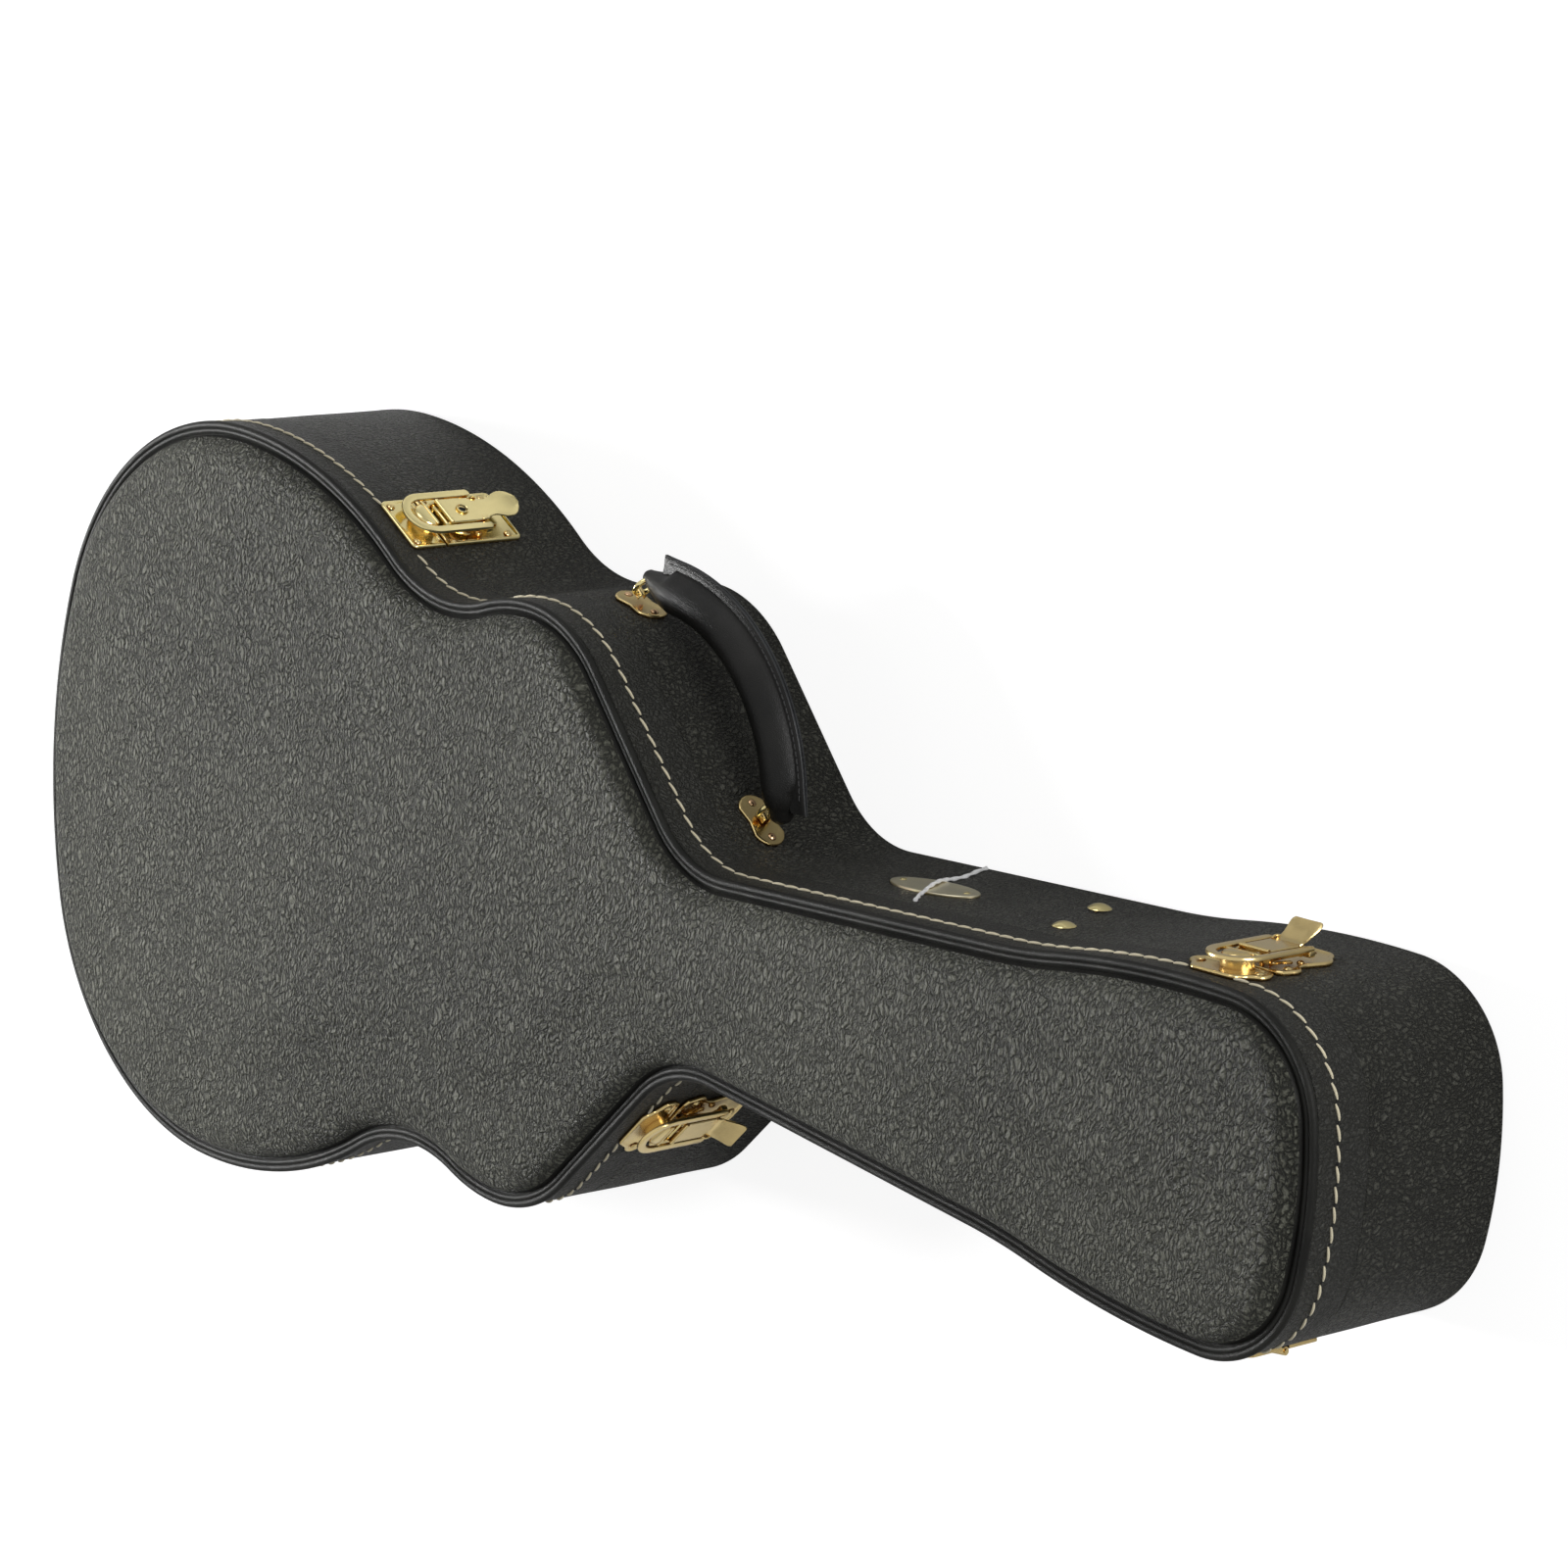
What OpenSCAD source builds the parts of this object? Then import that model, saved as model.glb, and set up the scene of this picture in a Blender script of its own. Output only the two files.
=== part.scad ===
// Hard guitar case lying on its back, lid uppermost.
// +Z is up through the lid, the handle side faces -Y, the hinge side faces +Y,
// the butt end points to +X and the head end to -X.  The origin is on the underside,
// on the centre line, below the widest part of the lower bout.  Millimetres.

/* [Outline] */
// Overall length along the centre line
case_length = 1040; // [1036:1:1044]
// Width across the lower bout
lower_bout_width = 442; // [436:1:448]
// Distance from the butt end to the widest part of the lower bout
lower_bout_station = 174; // [171:1:177]
// Radius of the outline between the butt end and the widest part
butt_corner_radius = 167; // [164:1:168]
// Radius of the outline between the widest part and the waist
lower_bout_radius = 260; // [252:2:266]
// Width across the waist
waist_width = 317; // [314:1:320]
// Distance from the butt end to the waist
waist_station = 373; // [370:1:376]
// Width across the upper bout
upper_bout_width = 343; // [340:1:346]
// Distance from the butt end to the widest part of the upper bout
upper_bout_station = 443; // [441:1:445]
// Radius of the outline where the upper bout turns into the shoulder
upper_bout_radius = 79; // [76:1:82]
// Slope of the straight shoulder against the centre line, degrees
shoulder_angle = 47.7; // [47:0.1:48.5]
// Radius of the hollow between shoulder and neck
shoulder_fillet = 62.5; // [58:0.5:68]
// Half width of the neck part at its reference station
neck_half_width = 59.4; // [58:0.2:61]
// Distance from the butt end to the neck reference station
neck_station = 640; // [635:1:645]
// Flare of the neck sides against the centre line, degrees
neck_flare = 4.8; // [4.5:0.1:5.1]
// Radius of the hollow where the neck widens into the head
head_flare_radius = 397; // [380:1:420]
// Radius of the gently bulged head side
head_side_radius = 585; // [560:5:600]
// Width across the head
head_width = 184.4; // [183:0.2:186]
// Distance from the butt end to the centre of the head corner
head_station = 976; // [974:1:977]
// Radius of the head corner
head_corner_radius = 61.5; // [58:0.5:62]

/* [Shell] */
// Height of the base up to the parting line
base_height = 99; // [95:1:105]
// Height of the lid side wall
lid_wall_height = 35.5; // [34:0.5:40]
// Thickness of the covered plywood walls
wall = 5; // [4:0.5:6]
// Thickness of the back panel
back_thickness = 4; // [3:0.5:6]
// Gap between the outermost piping and the wall face
wall_inset = 1; // [0.5:0.1:1.5]
// Height of the piping cord round the lid
piping_height = 5; // [4:0.5:6]
// Width of the piping cord
piping_width = 3.2; // [2.5:0.1:3.5]
// Rise of the arched lid above the top of the side wall
arch_rise = 22; // [18:1:26]
// Height of the guide tongue above the parting line
tongue_rise = 7; // [4:0.5:9]

/* [Latches] */
// Width of the straight latch plates
latch_plate_width = 40; // [38:1:44]
// Width of the scalloped latch plates
ogee_plate_width = 50; // [46:1:52]
// Length of the catch plate on the lid
catch_length = 23.5; // [22:0.5:25]
// Length of the latch base plate
latch_base_length = 55; // [54:1:58]
// Thickness of all latch plates
latch_plate_thickness = 2.2; // [1.8:0.1:2.4]
// Outer width of the latch loop
loop_width = 33; // [32:0.5:34]
// Width of the latch loop wire
loop_band = 5.1; // [4.6:0.1:5.3]
// Width of the lever cover
lever_width = 19.2; // [18.4:0.2:19.8]
// Length of the necked finger tab on the keyed latch
tab_length = 27; // [24:1:30]
// Length of the square finger tabs on the scalloped latches
ogee_tab_length = 18; // [16:1:20]
// Outward tilt of the finger tab on the keyed latch, degrees
tab_tilt = 12; // [8:1:16]
// Outward tilt of the finger tab on the scalloped latches, degrees
ogee_tab_tilt = 30; // [20:1:36]

/* [Handle] */
// Radius of the curve along the stitched ridge of the handle
ridge_radius = 121.5; // [119:0.5:124]
// Half of the angle swept by the round part of the grip
grip_half_angle = 38; // [36:0.5:39]
// Radius of the round grip
grip_radius = 11.5; // [10.5:0.5:12]
// Height of the stitched ridge above the round grip
ridge_height = 7; // [6:0.5:8]
// Distance the grip has slid along its rings toward the neck
grip_shift = 7; // [3:0.5:8]
// Radius of the ring centre line
ring_radius = 6.5; // [6.2:0.1:6.6]
// Radius of the ring wire
ring_wire = 1.5; // [1.3:0.1:1.6]
// Height of the ring centres above the wall
ring_standoff = 10.5; // [10.2:0.1:11]

/* [Inside] */
// Thickness of the padding round the guitar hollow
padding = 15; // [13:1:17]
// Height of the hollow's floor above the underside
hollow_floor = 17; // [15:1:20]
// Length of the accessory compartment
box_length = 84; // [80:1:88]
// Height of the accessory compartment above the hollow's floor
box_height = 35; // [30:1:38]

/* [Hidden] */

charcoal = [0.16, 0.16, 0.155];
dark = [0.07, 0.07, 0.07];
gold = [0.83, 0.66, 0.3];
pale_gold = [0.85, 0.76, 0.5];
plush = [0.32, 0.06, 0.09];

round_fn = 48;
eps = 0.01;

// ---- outline of one half: [distance from butt end, half width], inset by d ----

lower_half = lower_bout_width / 2;
waist_half = waist_width / 2;
upper_half = upper_bout_width / 2;
head_half = head_width / 2;

butt_corner_c = [lower_bout_station, lower_half - butt_corner_radius];
butt_radius = (lower_bout_station^2 + butt_corner_c[1]^2 - butt_corner_radius^2)
  / (2 * (lower_bout_station - butt_corner_radius));
butt_turn = atan2(butt_corner_c[1], butt_corner_c[0] - butt_radius);

lower_c = [lower_bout_station, lower_half - lower_bout_radius];
waist_run = waist_station - lower_bout_station;
waist_drop = waist_half - lower_c[1];
waist_radius = (lower_bout_radius^2 - waist_run^2 - waist_drop^2)
  / (2 * (waist_drop - lower_bout_radius));
waist_c = [waist_station, waist_half + waist_radius];
lower_turn = atan2(waist_c[1] - lower_c[1], waist_c[0] - lower_c[0]);

upper_run = upper_bout_station - waist_station;
upper_gap = waist_c[1] - upper_half;
upper_side_radius = (waist_radius^2 - upper_run^2 - upper_gap^2)
  / (2 * (upper_gap - waist_radius));
upper_side_c = [upper_bout_station, upper_half - upper_side_radius];
waist_turn = atan2(upper_side_c[1] - waist_c[1], upper_side_c[0] - waist_c[0]);
upper_c = [upper_bout_station, upper_half - upper_bout_radius];

shoulder_normal = 90 - shoulder_angle;
shoulder_n = [cos(shoulder_normal), sin(shoulder_normal)];
shoulder_off = shoulder_n * upper_c + upper_bout_radius;
neck_normal = 90 + neck_flare;
neck_n = [cos(neck_normal), sin(neck_normal)];
neck_off = neck_n * [neck_station, neck_half_width];
fillet_det = shoulder_n[0] * neck_n[1] - shoulder_n[1] * neck_n[0];
fillet_c = [
  (shoulder_off + shoulder_fillet) * neck_n[1] - (neck_off + shoulder_fillet) * shoulder_n[1],
  (neck_off + shoulder_fillet) * shoulder_n[0] - (shoulder_off + shoulder_fillet) * neck_n[0]
] / fillet_det;

side_c = [head_station, head_half - head_side_radius];
flare_drop = neck_off + head_flare_radius - neck_n * side_c;
flare_reach = sqrt((head_side_radius + head_flare_radius)^2 - flare_drop^2);
flare_c = side_c + neck_n * flare_drop + [-neck_n[1], neck_n[0]] * flare_reach;
flare_turn = atan2(flare_c[1] - side_c[1], flare_c[0] - side_c[0]);

corner_c = [head_station, head_half - head_corner_radius];
end_run = case_length - head_station;
end_radius = (end_run^2 + corner_c[1]^2 - head_corner_radius^2)
  / (2 * (end_run - head_corner_radius));
end_c = [case_length - end_radius, 0];
end_turn = atan2(corner_c[1], head_station - end_c[0]);

function arc(c, r, a0, a1, n) =
  [for (i = [0:n]) c + r * [cos(a0 + (a1 - a0) * i / n), sin(a0 + (a1 - a0) * i / n)]];
function tail(v) = [for (i = [1:len(v) - 1]) v[i]];

function half(d) = concat(
  arc([butt_radius, 0], butt_radius - d, 180, butt_turn, 7),
  tail(arc(butt_corner_c, butt_corner_radius - d, butt_turn, 90, 9)),
  tail(arc(lower_c, lower_bout_radius - d, 90, lower_turn, 6)),
  tail(arc(waist_c, waist_radius + d, lower_turn - 180, waist_turn, 7)),
  tail(arc(upper_side_c, upper_side_radius - d, waist_turn + 180, 90, 4)),
  tail(arc(upper_c, upper_bout_radius - d, 90, shoulder_normal, 6)),
  arc(fillet_c, shoulder_fillet + d, shoulder_normal + 180, neck_normal + 180, 7),
  arc(flare_c, head_flare_radius + d, neck_normal + 180, flare_turn + 180, 3),
  tail(arc(side_c, head_side_radius - d, flare_turn, 90, 3)),
  tail(arc(corner_c, head_corner_radius - d, 90, end_turn, 8)),
  tail(arc(end_c, end_radius - d, end_turn, 0, 3)));

// closed loop of case-frame points, counter-clockwise seen from above
function loop_points(d) = let (h = half(d), n = len(h)) concat(
  [for (i = [n - 1:-1:0]) [lower_bout_station - h[i][0], -h[i][1]]],
  [for (i = [1:n - 2]) [lower_bout_station - h[i][0], h[i][1]]]);

module slab(d, z0, z1) {
  translate([0, 0, z0])
    linear_extrude(z1 - z0) polygon(loop_points(d));
}
module ring(d0, d1, z0, z1) {
  difference() {
    slab(d0, z0, z1);
    slab(d1, z0 - 1, z1 + 1);
  }
}

// ---- places on the wall: turn(a) faces local +Y outward, +Z up to the lid ----

parting_gap = 0.4;
lid_top = base_height + lid_wall_height;
wall_in = wall_inset + wall;
seat_depth = 1;

// spot = [station, half width, normal angle, side]; side -1 is the handle side
function arc_spot(c, r, a, side) =
  [c[0] + (r - wall_inset) * cos(a), c[1] + (r - wall_inset) * sin(a), a, side];
bout_spot = arc_spot(lower_c, lower_bout_radius, 60, -1);
head_spot = arc_spot(side_c, head_side_radius, 92.8, -1);
butt_spot = arc_spot([butt_radius, 0], butt_radius, 180, -1);
shoulder_mid = 538;
shoulder_spot = [shoulder_mid - wall_inset * shoulder_n[0],
  (shoulder_off - shoulder_n[0] * shoulder_mid) / shoulder_n[1] - wall_inset * shoulder_n[1],
  shoulder_normal, 1];

// local axes: +Y outward, +Z toward the lid, origin on the seat at the parting line
module on_wall(spot, lift = 0) {
  a = spot[3] < 0 ? 180 + spot[2] : 180 - spot[2];
  translate([lower_bout_station - spot[0], spot[3] * spot[1], base_height])
    rotate([0, 0, a - 90])
      translate([0, lift - seat_depth, 0]) children();
}
module block(x0, x1, y0, y1, z0, z1) {
  translate([x0, y0, z0]) cube([x1 - x0, y1 - y0, z1 - z0]);
}
// round bar along local X between x0 and x1
module bar_x(x0, x1, y, z, r) {
  translate([x0, y, z]) rotate([0, 90, 0]) cylinder(h = x1 - x0, r = r, $fn = round_fn);
}
// round bar along local Y
module bar_y(x, z, y0, y1, r) {
  translate([x, y0, z]) rotate([-90, 0, 0]) cylinder(h = y1 - y0, r = r, $fn = round_fn);
}
// plate standing on the wall from a polygon of [x, z] points
module plate_xz(points, y0, y1) {
  translate([0, y1, 0]) rotate([90, 0, 0]) linear_extrude(y1 - y0) polygon(points);
}

// ---- latches ----

plate_t = latch_plate_thickness;
plate_gap = 0.8;
plate_corner = 4;
pivot_y = 6.2;
pivot_z = -6;
loop_pin_z = -32;
loop_pin_y = 6.1;
latch_pin_r = 1.2;
pin_clear = 0.05;
loop_y0 = 5;
loop_y1 = 7.2;
cover_y0 = 8.2;
cover_y1 = 9.8;
cover_end = -31;
cover_setback = 0.8;
cheek = 1.4;
hook_r = 8.4;
hook_z = 5;
loop_bend_z = 3.2;
lug_r = 2.5;
ear_x0 = 5.6;
ear_x1 = 7.6;
ear_r = 1.8;
lever_half = lever_width / 2;
loop_half = loop_width / 2;
key_r = 3.8;
key_z = -20;
seat_margin = 0.25;
rivet_r = 1.3;
rivet_head_r = 2.4;
rivet_head_h = 1.1;
hole_clear = 0.06;

function mirror_x(v) = concat(v, [for (i = [len(v) - 1:-1:0]) [-v[i][0], v[i][1]]]);

// straight plates: right-hand halves, listed from the gap outward
function straight_catch() = let (w = latch_plate_width / 2, t = catch_length)
  mirror_x(concat([[w, plate_gap]],
    arc([w - plate_corner, t - plate_corner], plate_corner, 0, 90, 5)));
function straight_base() = let (w = latch_plate_width / 2, t = latch_base_length)
  mirror_x(concat([[w, -plate_gap]],
    arc([w - plate_corner, plate_corner - t], plate_corner, 0, -90, 5)));

// scalloped plates: side lobes, a hollow, then an end lobe
side_lobe = 6;
catch_cut = 4;
catch_lobe_z = 9;
catch_hollow = 7;
crest_r = 5;
crest_in = 14;
base_cut = 2;
base_lobe_z = -12;
base_hollow = 8;
base_hollow_z = -24;
lower_lobe = 9;
lower_lobe_in = 13;
lower_lobe_z = -38;
end_lobe = 10;
function ogee_catch() = let (w = ogee_plate_width / 2, t = catch_length)
  mirror_x(concat([[w - catch_cut, plate_gap]],
    arc([w - side_lobe, catch_lobe_z], side_lobe, -20, 60, 4),
    arc([w - 1, t - catch_hollow / 2], catch_hollow, 240, 200, 3),
    arc([w - crest_in, t - crest_r], crest_r, 20, 90, 4)));
function ogee_base() = let (w = ogee_plate_width / 2, t = latch_base_length)
  mirror_x(concat([[w - base_cut, -plate_gap]],
    arc([w - side_lobe, base_lobe_z], side_lobe, 20, -60, 4),
    arc([w + 1, base_hollow_z], base_hollow, 120, 200, 5),
    arc([w - lower_lobe_in, lower_lobe_z], lower_lobe, 20, -50, 4),
    arc([end_lobe / 2, end_lobe - t], end_lobe, -20, -90, 5)));

module rivet_holes(spots) {
  for (p = spots)
    bar_y(p[0], p[1], -1, plate_t + 1, rivet_r + hole_clear);
}
straight_catch_rivets = [[-15, 18], [15, 18]];
straight_base_rivets = [[-15, -47], [15, -47], [-16.8, -6], [16.8, -6]];
ogee_catch_rivets = [[-19, 9], [19, 9]];
ogee_base_rivets = [[-19, -11], [19, -11], [0, -49]];

module hook() {
  intersection() {
    bar_y(0, hook_z, plate_t - eps, cover_y0, hook_r);
    block(-hook_r - 1, hook_r + 1, 0, cover_y1, hook_z, hook_z + hook_r + 1);
  }
}
module catch_plate(points, rivets) {
  difference() {
    plate_xz(points, 0, plate_t);
    rivet_holes(rivets);
  }
  hook();
}
module latch_base(points, rivets) {
  difference() {
    union() {
      plate_xz(points, 0, plate_t);
      for (m = [0, 1]) mirror([m, 0, 0]) {
        block(ear_x0, ear_x1, plate_t - eps, pivot_y, pivot_z - ear_r, pivot_z + ear_r);
        bar_x(ear_x0, ear_x1, pivot_y, pivot_z, ear_r);
      }
    }
    rivet_holes(rivets);
    bar_x(-ear_x1 - 1, ear_x1 + 1, pivot_y, pivot_z, latch_pin_r + pin_clear);
  }
}
cheek_r = 3.2;
cheek_y0 = 3.4;
eye_r = 2.7;
tab_lobe = 10.5;
scoop_r = 8.5;
scoop_out = 5;
scoop_z = -13;
tab_root = 3;
tab_corner = 3;
tab_waist = 1;
tab_flare = 1.5;
function necked_tab() = mirror_x(concat([[lever_half, 0], [lever_half, -tab_root]],
  arc([lever_half + scoop_out, scoop_z], scoop_r, 150, 200, 4),
  arc([0, tab_lobe - tab_length], tab_lobe, 25, -90, 8)));
function square_tab() = mirror_x(concat(
  [[lever_half, 0], [lever_half - tab_waist, -ogee_tab_length / 3]],
  arc([lever_half + tab_flare - tab_corner, tab_corner - ogee_tab_length], tab_corner, 0, -90, 4)));
module lever(key, tilt, tab) {
  difference() {
    union() {
      block(-lever_half, lever_half, cover_y0, cover_y1, cover_end, pivot_z - cover_setback);
      for (m = [0, 1]) mirror([m, 0, 0]) {
        bar_x(lever_half - cheek, lever_half, pivot_y, pivot_z, cheek_r);
        block(lever_half - cheek, lever_half, cheek_y0, cover_y0 + eps, loop_pin_z, pivot_z);
        bar_x(lever_half - cheek, lever_half, loop_pin_y, loop_pin_z, eye_r);
      }
      translate([0, cover_y0, cover_end + eps])
        rotate([tilt, 0, 0])
          plate_xz(tab, 0, cover_y1 - cover_y0);
    }
    bar_x(-lever_half - 1, lever_half + 1, pivot_y, pivot_z, latch_pin_r + pin_clear);
    bar_x(-lever_half - 1, lever_half + 1, loop_pin_y, loop_pin_z, latch_pin_r + pin_clear);
    if (key) bar_y(0, key_z, cover_y0 - 1, cover_y1 + 1, key_r + pin_clear);
  }
}
module latch_loop() {
  inner = loop_half - loop_band;
  difference() {
    union() {
      plate_xz(mirror_x(concat([[loop_half, loop_pin_z]],
        arc([0, loop_bend_z], loop_half, 0, 90, 12))), loop_y0, loop_y1);
      for (m = [0, 1]) mirror([m, 0, 0])
        bar_x(inner, loop_half, loop_pin_y, loop_pin_z, lug_r);
    }
    plate_xz(mirror_x(concat([[inner, loop_pin_z - 1]],
      arc([0, loop_bend_z], inner, 0, 90, 12))), loop_y0 - 1, loop_y1 + 1);
    bar_x(-loop_half - 1, loop_half + 1, loop_pin_y, loop_pin_z, latch_pin_r + pin_clear);
  }
}
pin_inset = 0.2;
module loop_pin() {
  bar_x(pin_inset - loop_half, loop_half - pin_inset, loop_pin_y, loop_pin_z, latch_pin_r);
}
module pivot_pin() {
  bar_x(pin_inset - lever_half, lever_half - pin_inset, pivot_y, pivot_z, latch_pin_r);
}
key_proud = 0.5;
key_flange = 1;
flange_y0 = 6.8;
flange_y1 = 7.8;
keyway_half = 0.6;
keyway_reach = 2.4;
keyway_depth = 1.5;
module key_cylinder() {
  top = cover_y1 + key_proud;
  difference() {
    union() {
      bar_y(0, key_z, flange_y1 - eps, top, key_r);
      bar_y(0, key_z, flange_y0, flange_y1, key_r + key_flange);
    }
    block(-keyway_half, keyway_half, top - keyway_depth, top + 1,
      key_z - keyway_reach, key_z + keyway_reach);
  }
}
module rivet(x, z, seat, depth) {
  bar_y(x, z, seat - depth, seat + eps, rivet_r);
  translate([x, seat, z]) rotate([-90, 0, 0])
    rotate_extrude($fn = round_fn) rivet_profile(rivet_head_r, rivet_head_h);
}
module rivet_profile(r, h) {
  sphere_r = (r * r + h * h) / (2 * h);
  intersection() {
    translate([0, h - sphere_r]) circle(sphere_r, $fn = 96);
    square([r, h]);
  }
}
// shallow flat seats cut into the wall under the latch plates
// seats are cut this far out from the wall face
seat_cut = 8;
mount_seat_cut = 12;
module latch_seat(spot, width) {
  w = width / 2 + seat_margin;
  on_wall(spot)
    block(-w, w, 0, seat_cut, -latch_base_length - seat_margin, catch_length + seat_margin);
}
module latch_wall_holes(spot, spots) {
  on_wall(spot)
    for (p = spots) bar_y(p[0], p[1], -wall - 1, 1, rivet_r + hole_clear);
}
module latch_seats() {
  latch_seat(bout_spot, latch_plate_width);
  latch_seat(head_spot, ogee_plate_width);
  latch_seat(shoulder_spot, ogee_plate_width);
  latch_seat(butt_spot, ogee_plate_width);
}
shank_hold = 3;
rivet_depth = plate_t + shank_hold;

// ---- hinges ----

// common tangent of lower bout and head corner on the hinge side
span = corner_c - lower_c;
span_len = norm(span);
hinge_tilt = asin((lower_bout_radius - head_corner_radius) / span_len)
  - atan2(span[1], span[0]);
hinge_n = [sin(hinge_tilt), cos(hinge_tilt)];
hinge_normal = 90 - hinge_tilt;
bout_hinge_spot = arc_spot(lower_c, lower_bout_radius, hinge_normal, 1);
head_hinge_spot = arc_spot(corner_c, head_corner_radius, hinge_normal, 1);
leaf_half = 13;
leaf_t = 1.8;
leaf_reach = 25;
knuckle_r = 2.2;
hinge_pin_r = 1.1;
knuckle_y = 2.6;
knuckle_half = 4.6;
knuckle_slack = 0.3;
leaf_gap = 2.6;
web_in = 0.7;
leaf_corner = 4;
hinge_rivet_spots = [[-7.5, 16], [7.5, 16]];

function leaf_points(z0) = mirror_x(concat([[leaf_half, z0]],
  arc([leaf_half - leaf_corner, leaf_reach - leaf_corner], leaf_corner, 0, 90, 5)));
// leaf on the +Z side, cut back so that the other leaf's knuckles turn beside it
module leaf(x_ranges) {
  difference() {
    union() {
      plate_xz(leaf_points(leaf_gap), 0, leaf_t);
      for (x = x_ranges) {
        block(x[0], x[1], web_in, knuckle_y, 0, leaf_gap + eps);
        bar_x(x[0], x[1], knuckle_y, 0, knuckle_r);
      }
    }
    bar_x(-leaf_half - 1, leaf_half + 1, knuckle_y, 0, hinge_pin_r + pin_clear);
    for (p = hinge_rivet_spots)
      bar_y(p[0], p[1], -1, leaf_t + 1, rivet_r + hole_clear);
  }
}
lid_knuckles = [[-leaf_half, -knuckle_half - knuckle_slack],
  [knuckle_half + knuckle_slack, leaf_half]];
base_knuckles = [[-knuckle_half, knuckle_half]];
module lid_leaf() { leaf(lid_knuckles); }
module base_leaf() { mirror([0, 0, 1]) leaf(base_knuckles); }
module hinge_pin() {
  bar_x(-leaf_half - 0.8, leaf_half + 0.8, knuckle_y, 0, hinge_pin_r);
}
// shallow flat seats for the hinge leaves
module hinge_seat(spot) {
  w = leaf_half + seat_margin;
  on_wall(spot)
    block(-w, w, 0, seat_cut, -leaf_reach - seat_margin, leaf_reach + seat_margin);
}
hinge_spots = [bout_hinge_spot, head_hinge_spot];
module hinge_seats() {
  for (s = hinge_spots) hinge_seat(s);
}
module hinge_wall_holes(up) {
  for (s = hinge_spots)
    on_wall(s) for (p = hinge_rivet_spots)
      bar_y(p[0], up * p[1], -wall - 1, 1, rivet_r + hole_clear);
}

// ---- handle ----

// mounts: one on the upper bout corner, one in the hollow before the neck
bout_mount_normal = 77;
neck_mount_normal = 50.8;
bout_mount_spot = arc_spot(upper_c, upper_bout_radius, bout_mount_normal, -1);
neck_mount_n = [cos(neck_mount_normal), sin(neck_mount_normal)];
neck_mount_p = fillet_c - (shoulder_fillet + wall_inset) * neck_mount_n;
neck_mount_spot = [neck_mount_p[0], neck_mount_p[1], neck_mount_normal, -1];
bout_ring_p = [bout_mount_spot[0], bout_mount_spot[1]]
  + ring_standoff * [cos(bout_mount_normal), sin(bout_mount_normal)];
neck_ring_p = neck_mount_p + ring_standoff * neck_mount_n;
ring_half_span = norm(neck_ring_p - bout_ring_p) / 2;
handle_centre = (bout_ring_p + neck_ring_p) / 2;
chord_angle = atan2(bout_ring_p[1] - neck_ring_p[1], neck_ring_p[0] - bout_ring_p[0]);
handle_drop = 26;
handle_level = base_height - handle_drop;
grip_path = ridge_radius - ridge_height - grip_radius;
grip_offset = ring_radius - sqrt(grip_path^2 - ring_half_span^2);
fin_half = 1.6;
fin_root = 4;
fin_bout_angle = 43.5;
fin_neck_angle = 46;
// leather ends drawn in round the rings: [x, y, radius]
end_root_r = 9.5;
end_overlap = 3;
bout_end = [-ring_half_span - 1.2, 7.2, 5.5];
neck_end = [ring_half_span + 6.2, 7, 6.5];
ring_slack = 0.4;
mount_half = 17;
mount_lobe = 10.5;
mount_t = 2.2;
mount_sink = 0.7;
mount_rivets = [[-11.5, 0], [11.5, 0]];
lug_half = 3.5;
lug_depth = 3;
lug_over = 1;
lug_slack = 0.2;

// local frame: +X along the chord toward the head, +Y outward, +Z up, on the swing axis
module at_handle() {
  translate([lower_bout_station - handle_centre[0], -handle_centre[1], handle_level])
    rotate([0, 0, 180 - chord_angle]) children();
}
// stitched ridge: a flat arc in the plane of the handle
module ridge() {
  a0 = 90 - fin_neck_angle;
  a1 = 90 + fin_bout_angle;
  translate([0, grip_offset, -fin_half]) linear_extrude(2 * fin_half)
    polygon(concat(
      arc([0, 0], ridge_radius, a0, a1, 32),
      arc([0, 0], grip_path + fin_root, a1, a0, 32)));
}
// end of the grip, narrowing to the leather round the ring; side -1 is the bout end
module grip_end(side, tip) {
  a = 90 - side * (grip_half_angle - end_overlap);
  from = [grip_shift + grip_path * cos(a), grip_offset + grip_path * sin(a)];
  run = [tip[0], tip[1]] - from;
  translate([from[0], from[1], 0]) rotate([0, 0, atan2(run[1], run[0])])
    rotate([0, 90, 0]) cylinder(h = norm(run), r1 = end_root_r, r2 = tip[2], $fn = round_fn);
  translate([tip[0], tip[1], 0]) sphere(tip[2], $fn = round_fn);
}
module ring_torus(x, extra) {
  translate([x, 0, 0]) rotate([0, 90, 0])
    rotate_extrude($fn = 64) translate([ring_radius, 0])
      circle(ring_wire + extra, $fn = round_fn);
}
module handle_grip() {
  color(dark) at_handle() difference() {
    union() {
      translate([grip_shift, 0, 0]) {
        translate([0, grip_offset, 0]) rotate([0, 0, 90 - grip_half_angle])
          rotate_extrude(angle = 2 * grip_half_angle, $fn = 160)
            translate([grip_path, 0]) circle(grip_radius, $fn = round_fn);
        ridge();
      }
      grip_end(-1, bout_end);
      grip_end(1, neck_end);
    }
    for (s = [-1, 1]) ring_torus(s * ring_half_span, ring_slack);
  }
}
module bout_handle_ring() { color(gold) at_handle() ring_torus(-ring_half_span, 0); }
module neck_handle_ring() { color(gold) at_handle() ring_torus(ring_half_span, 0); }

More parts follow.
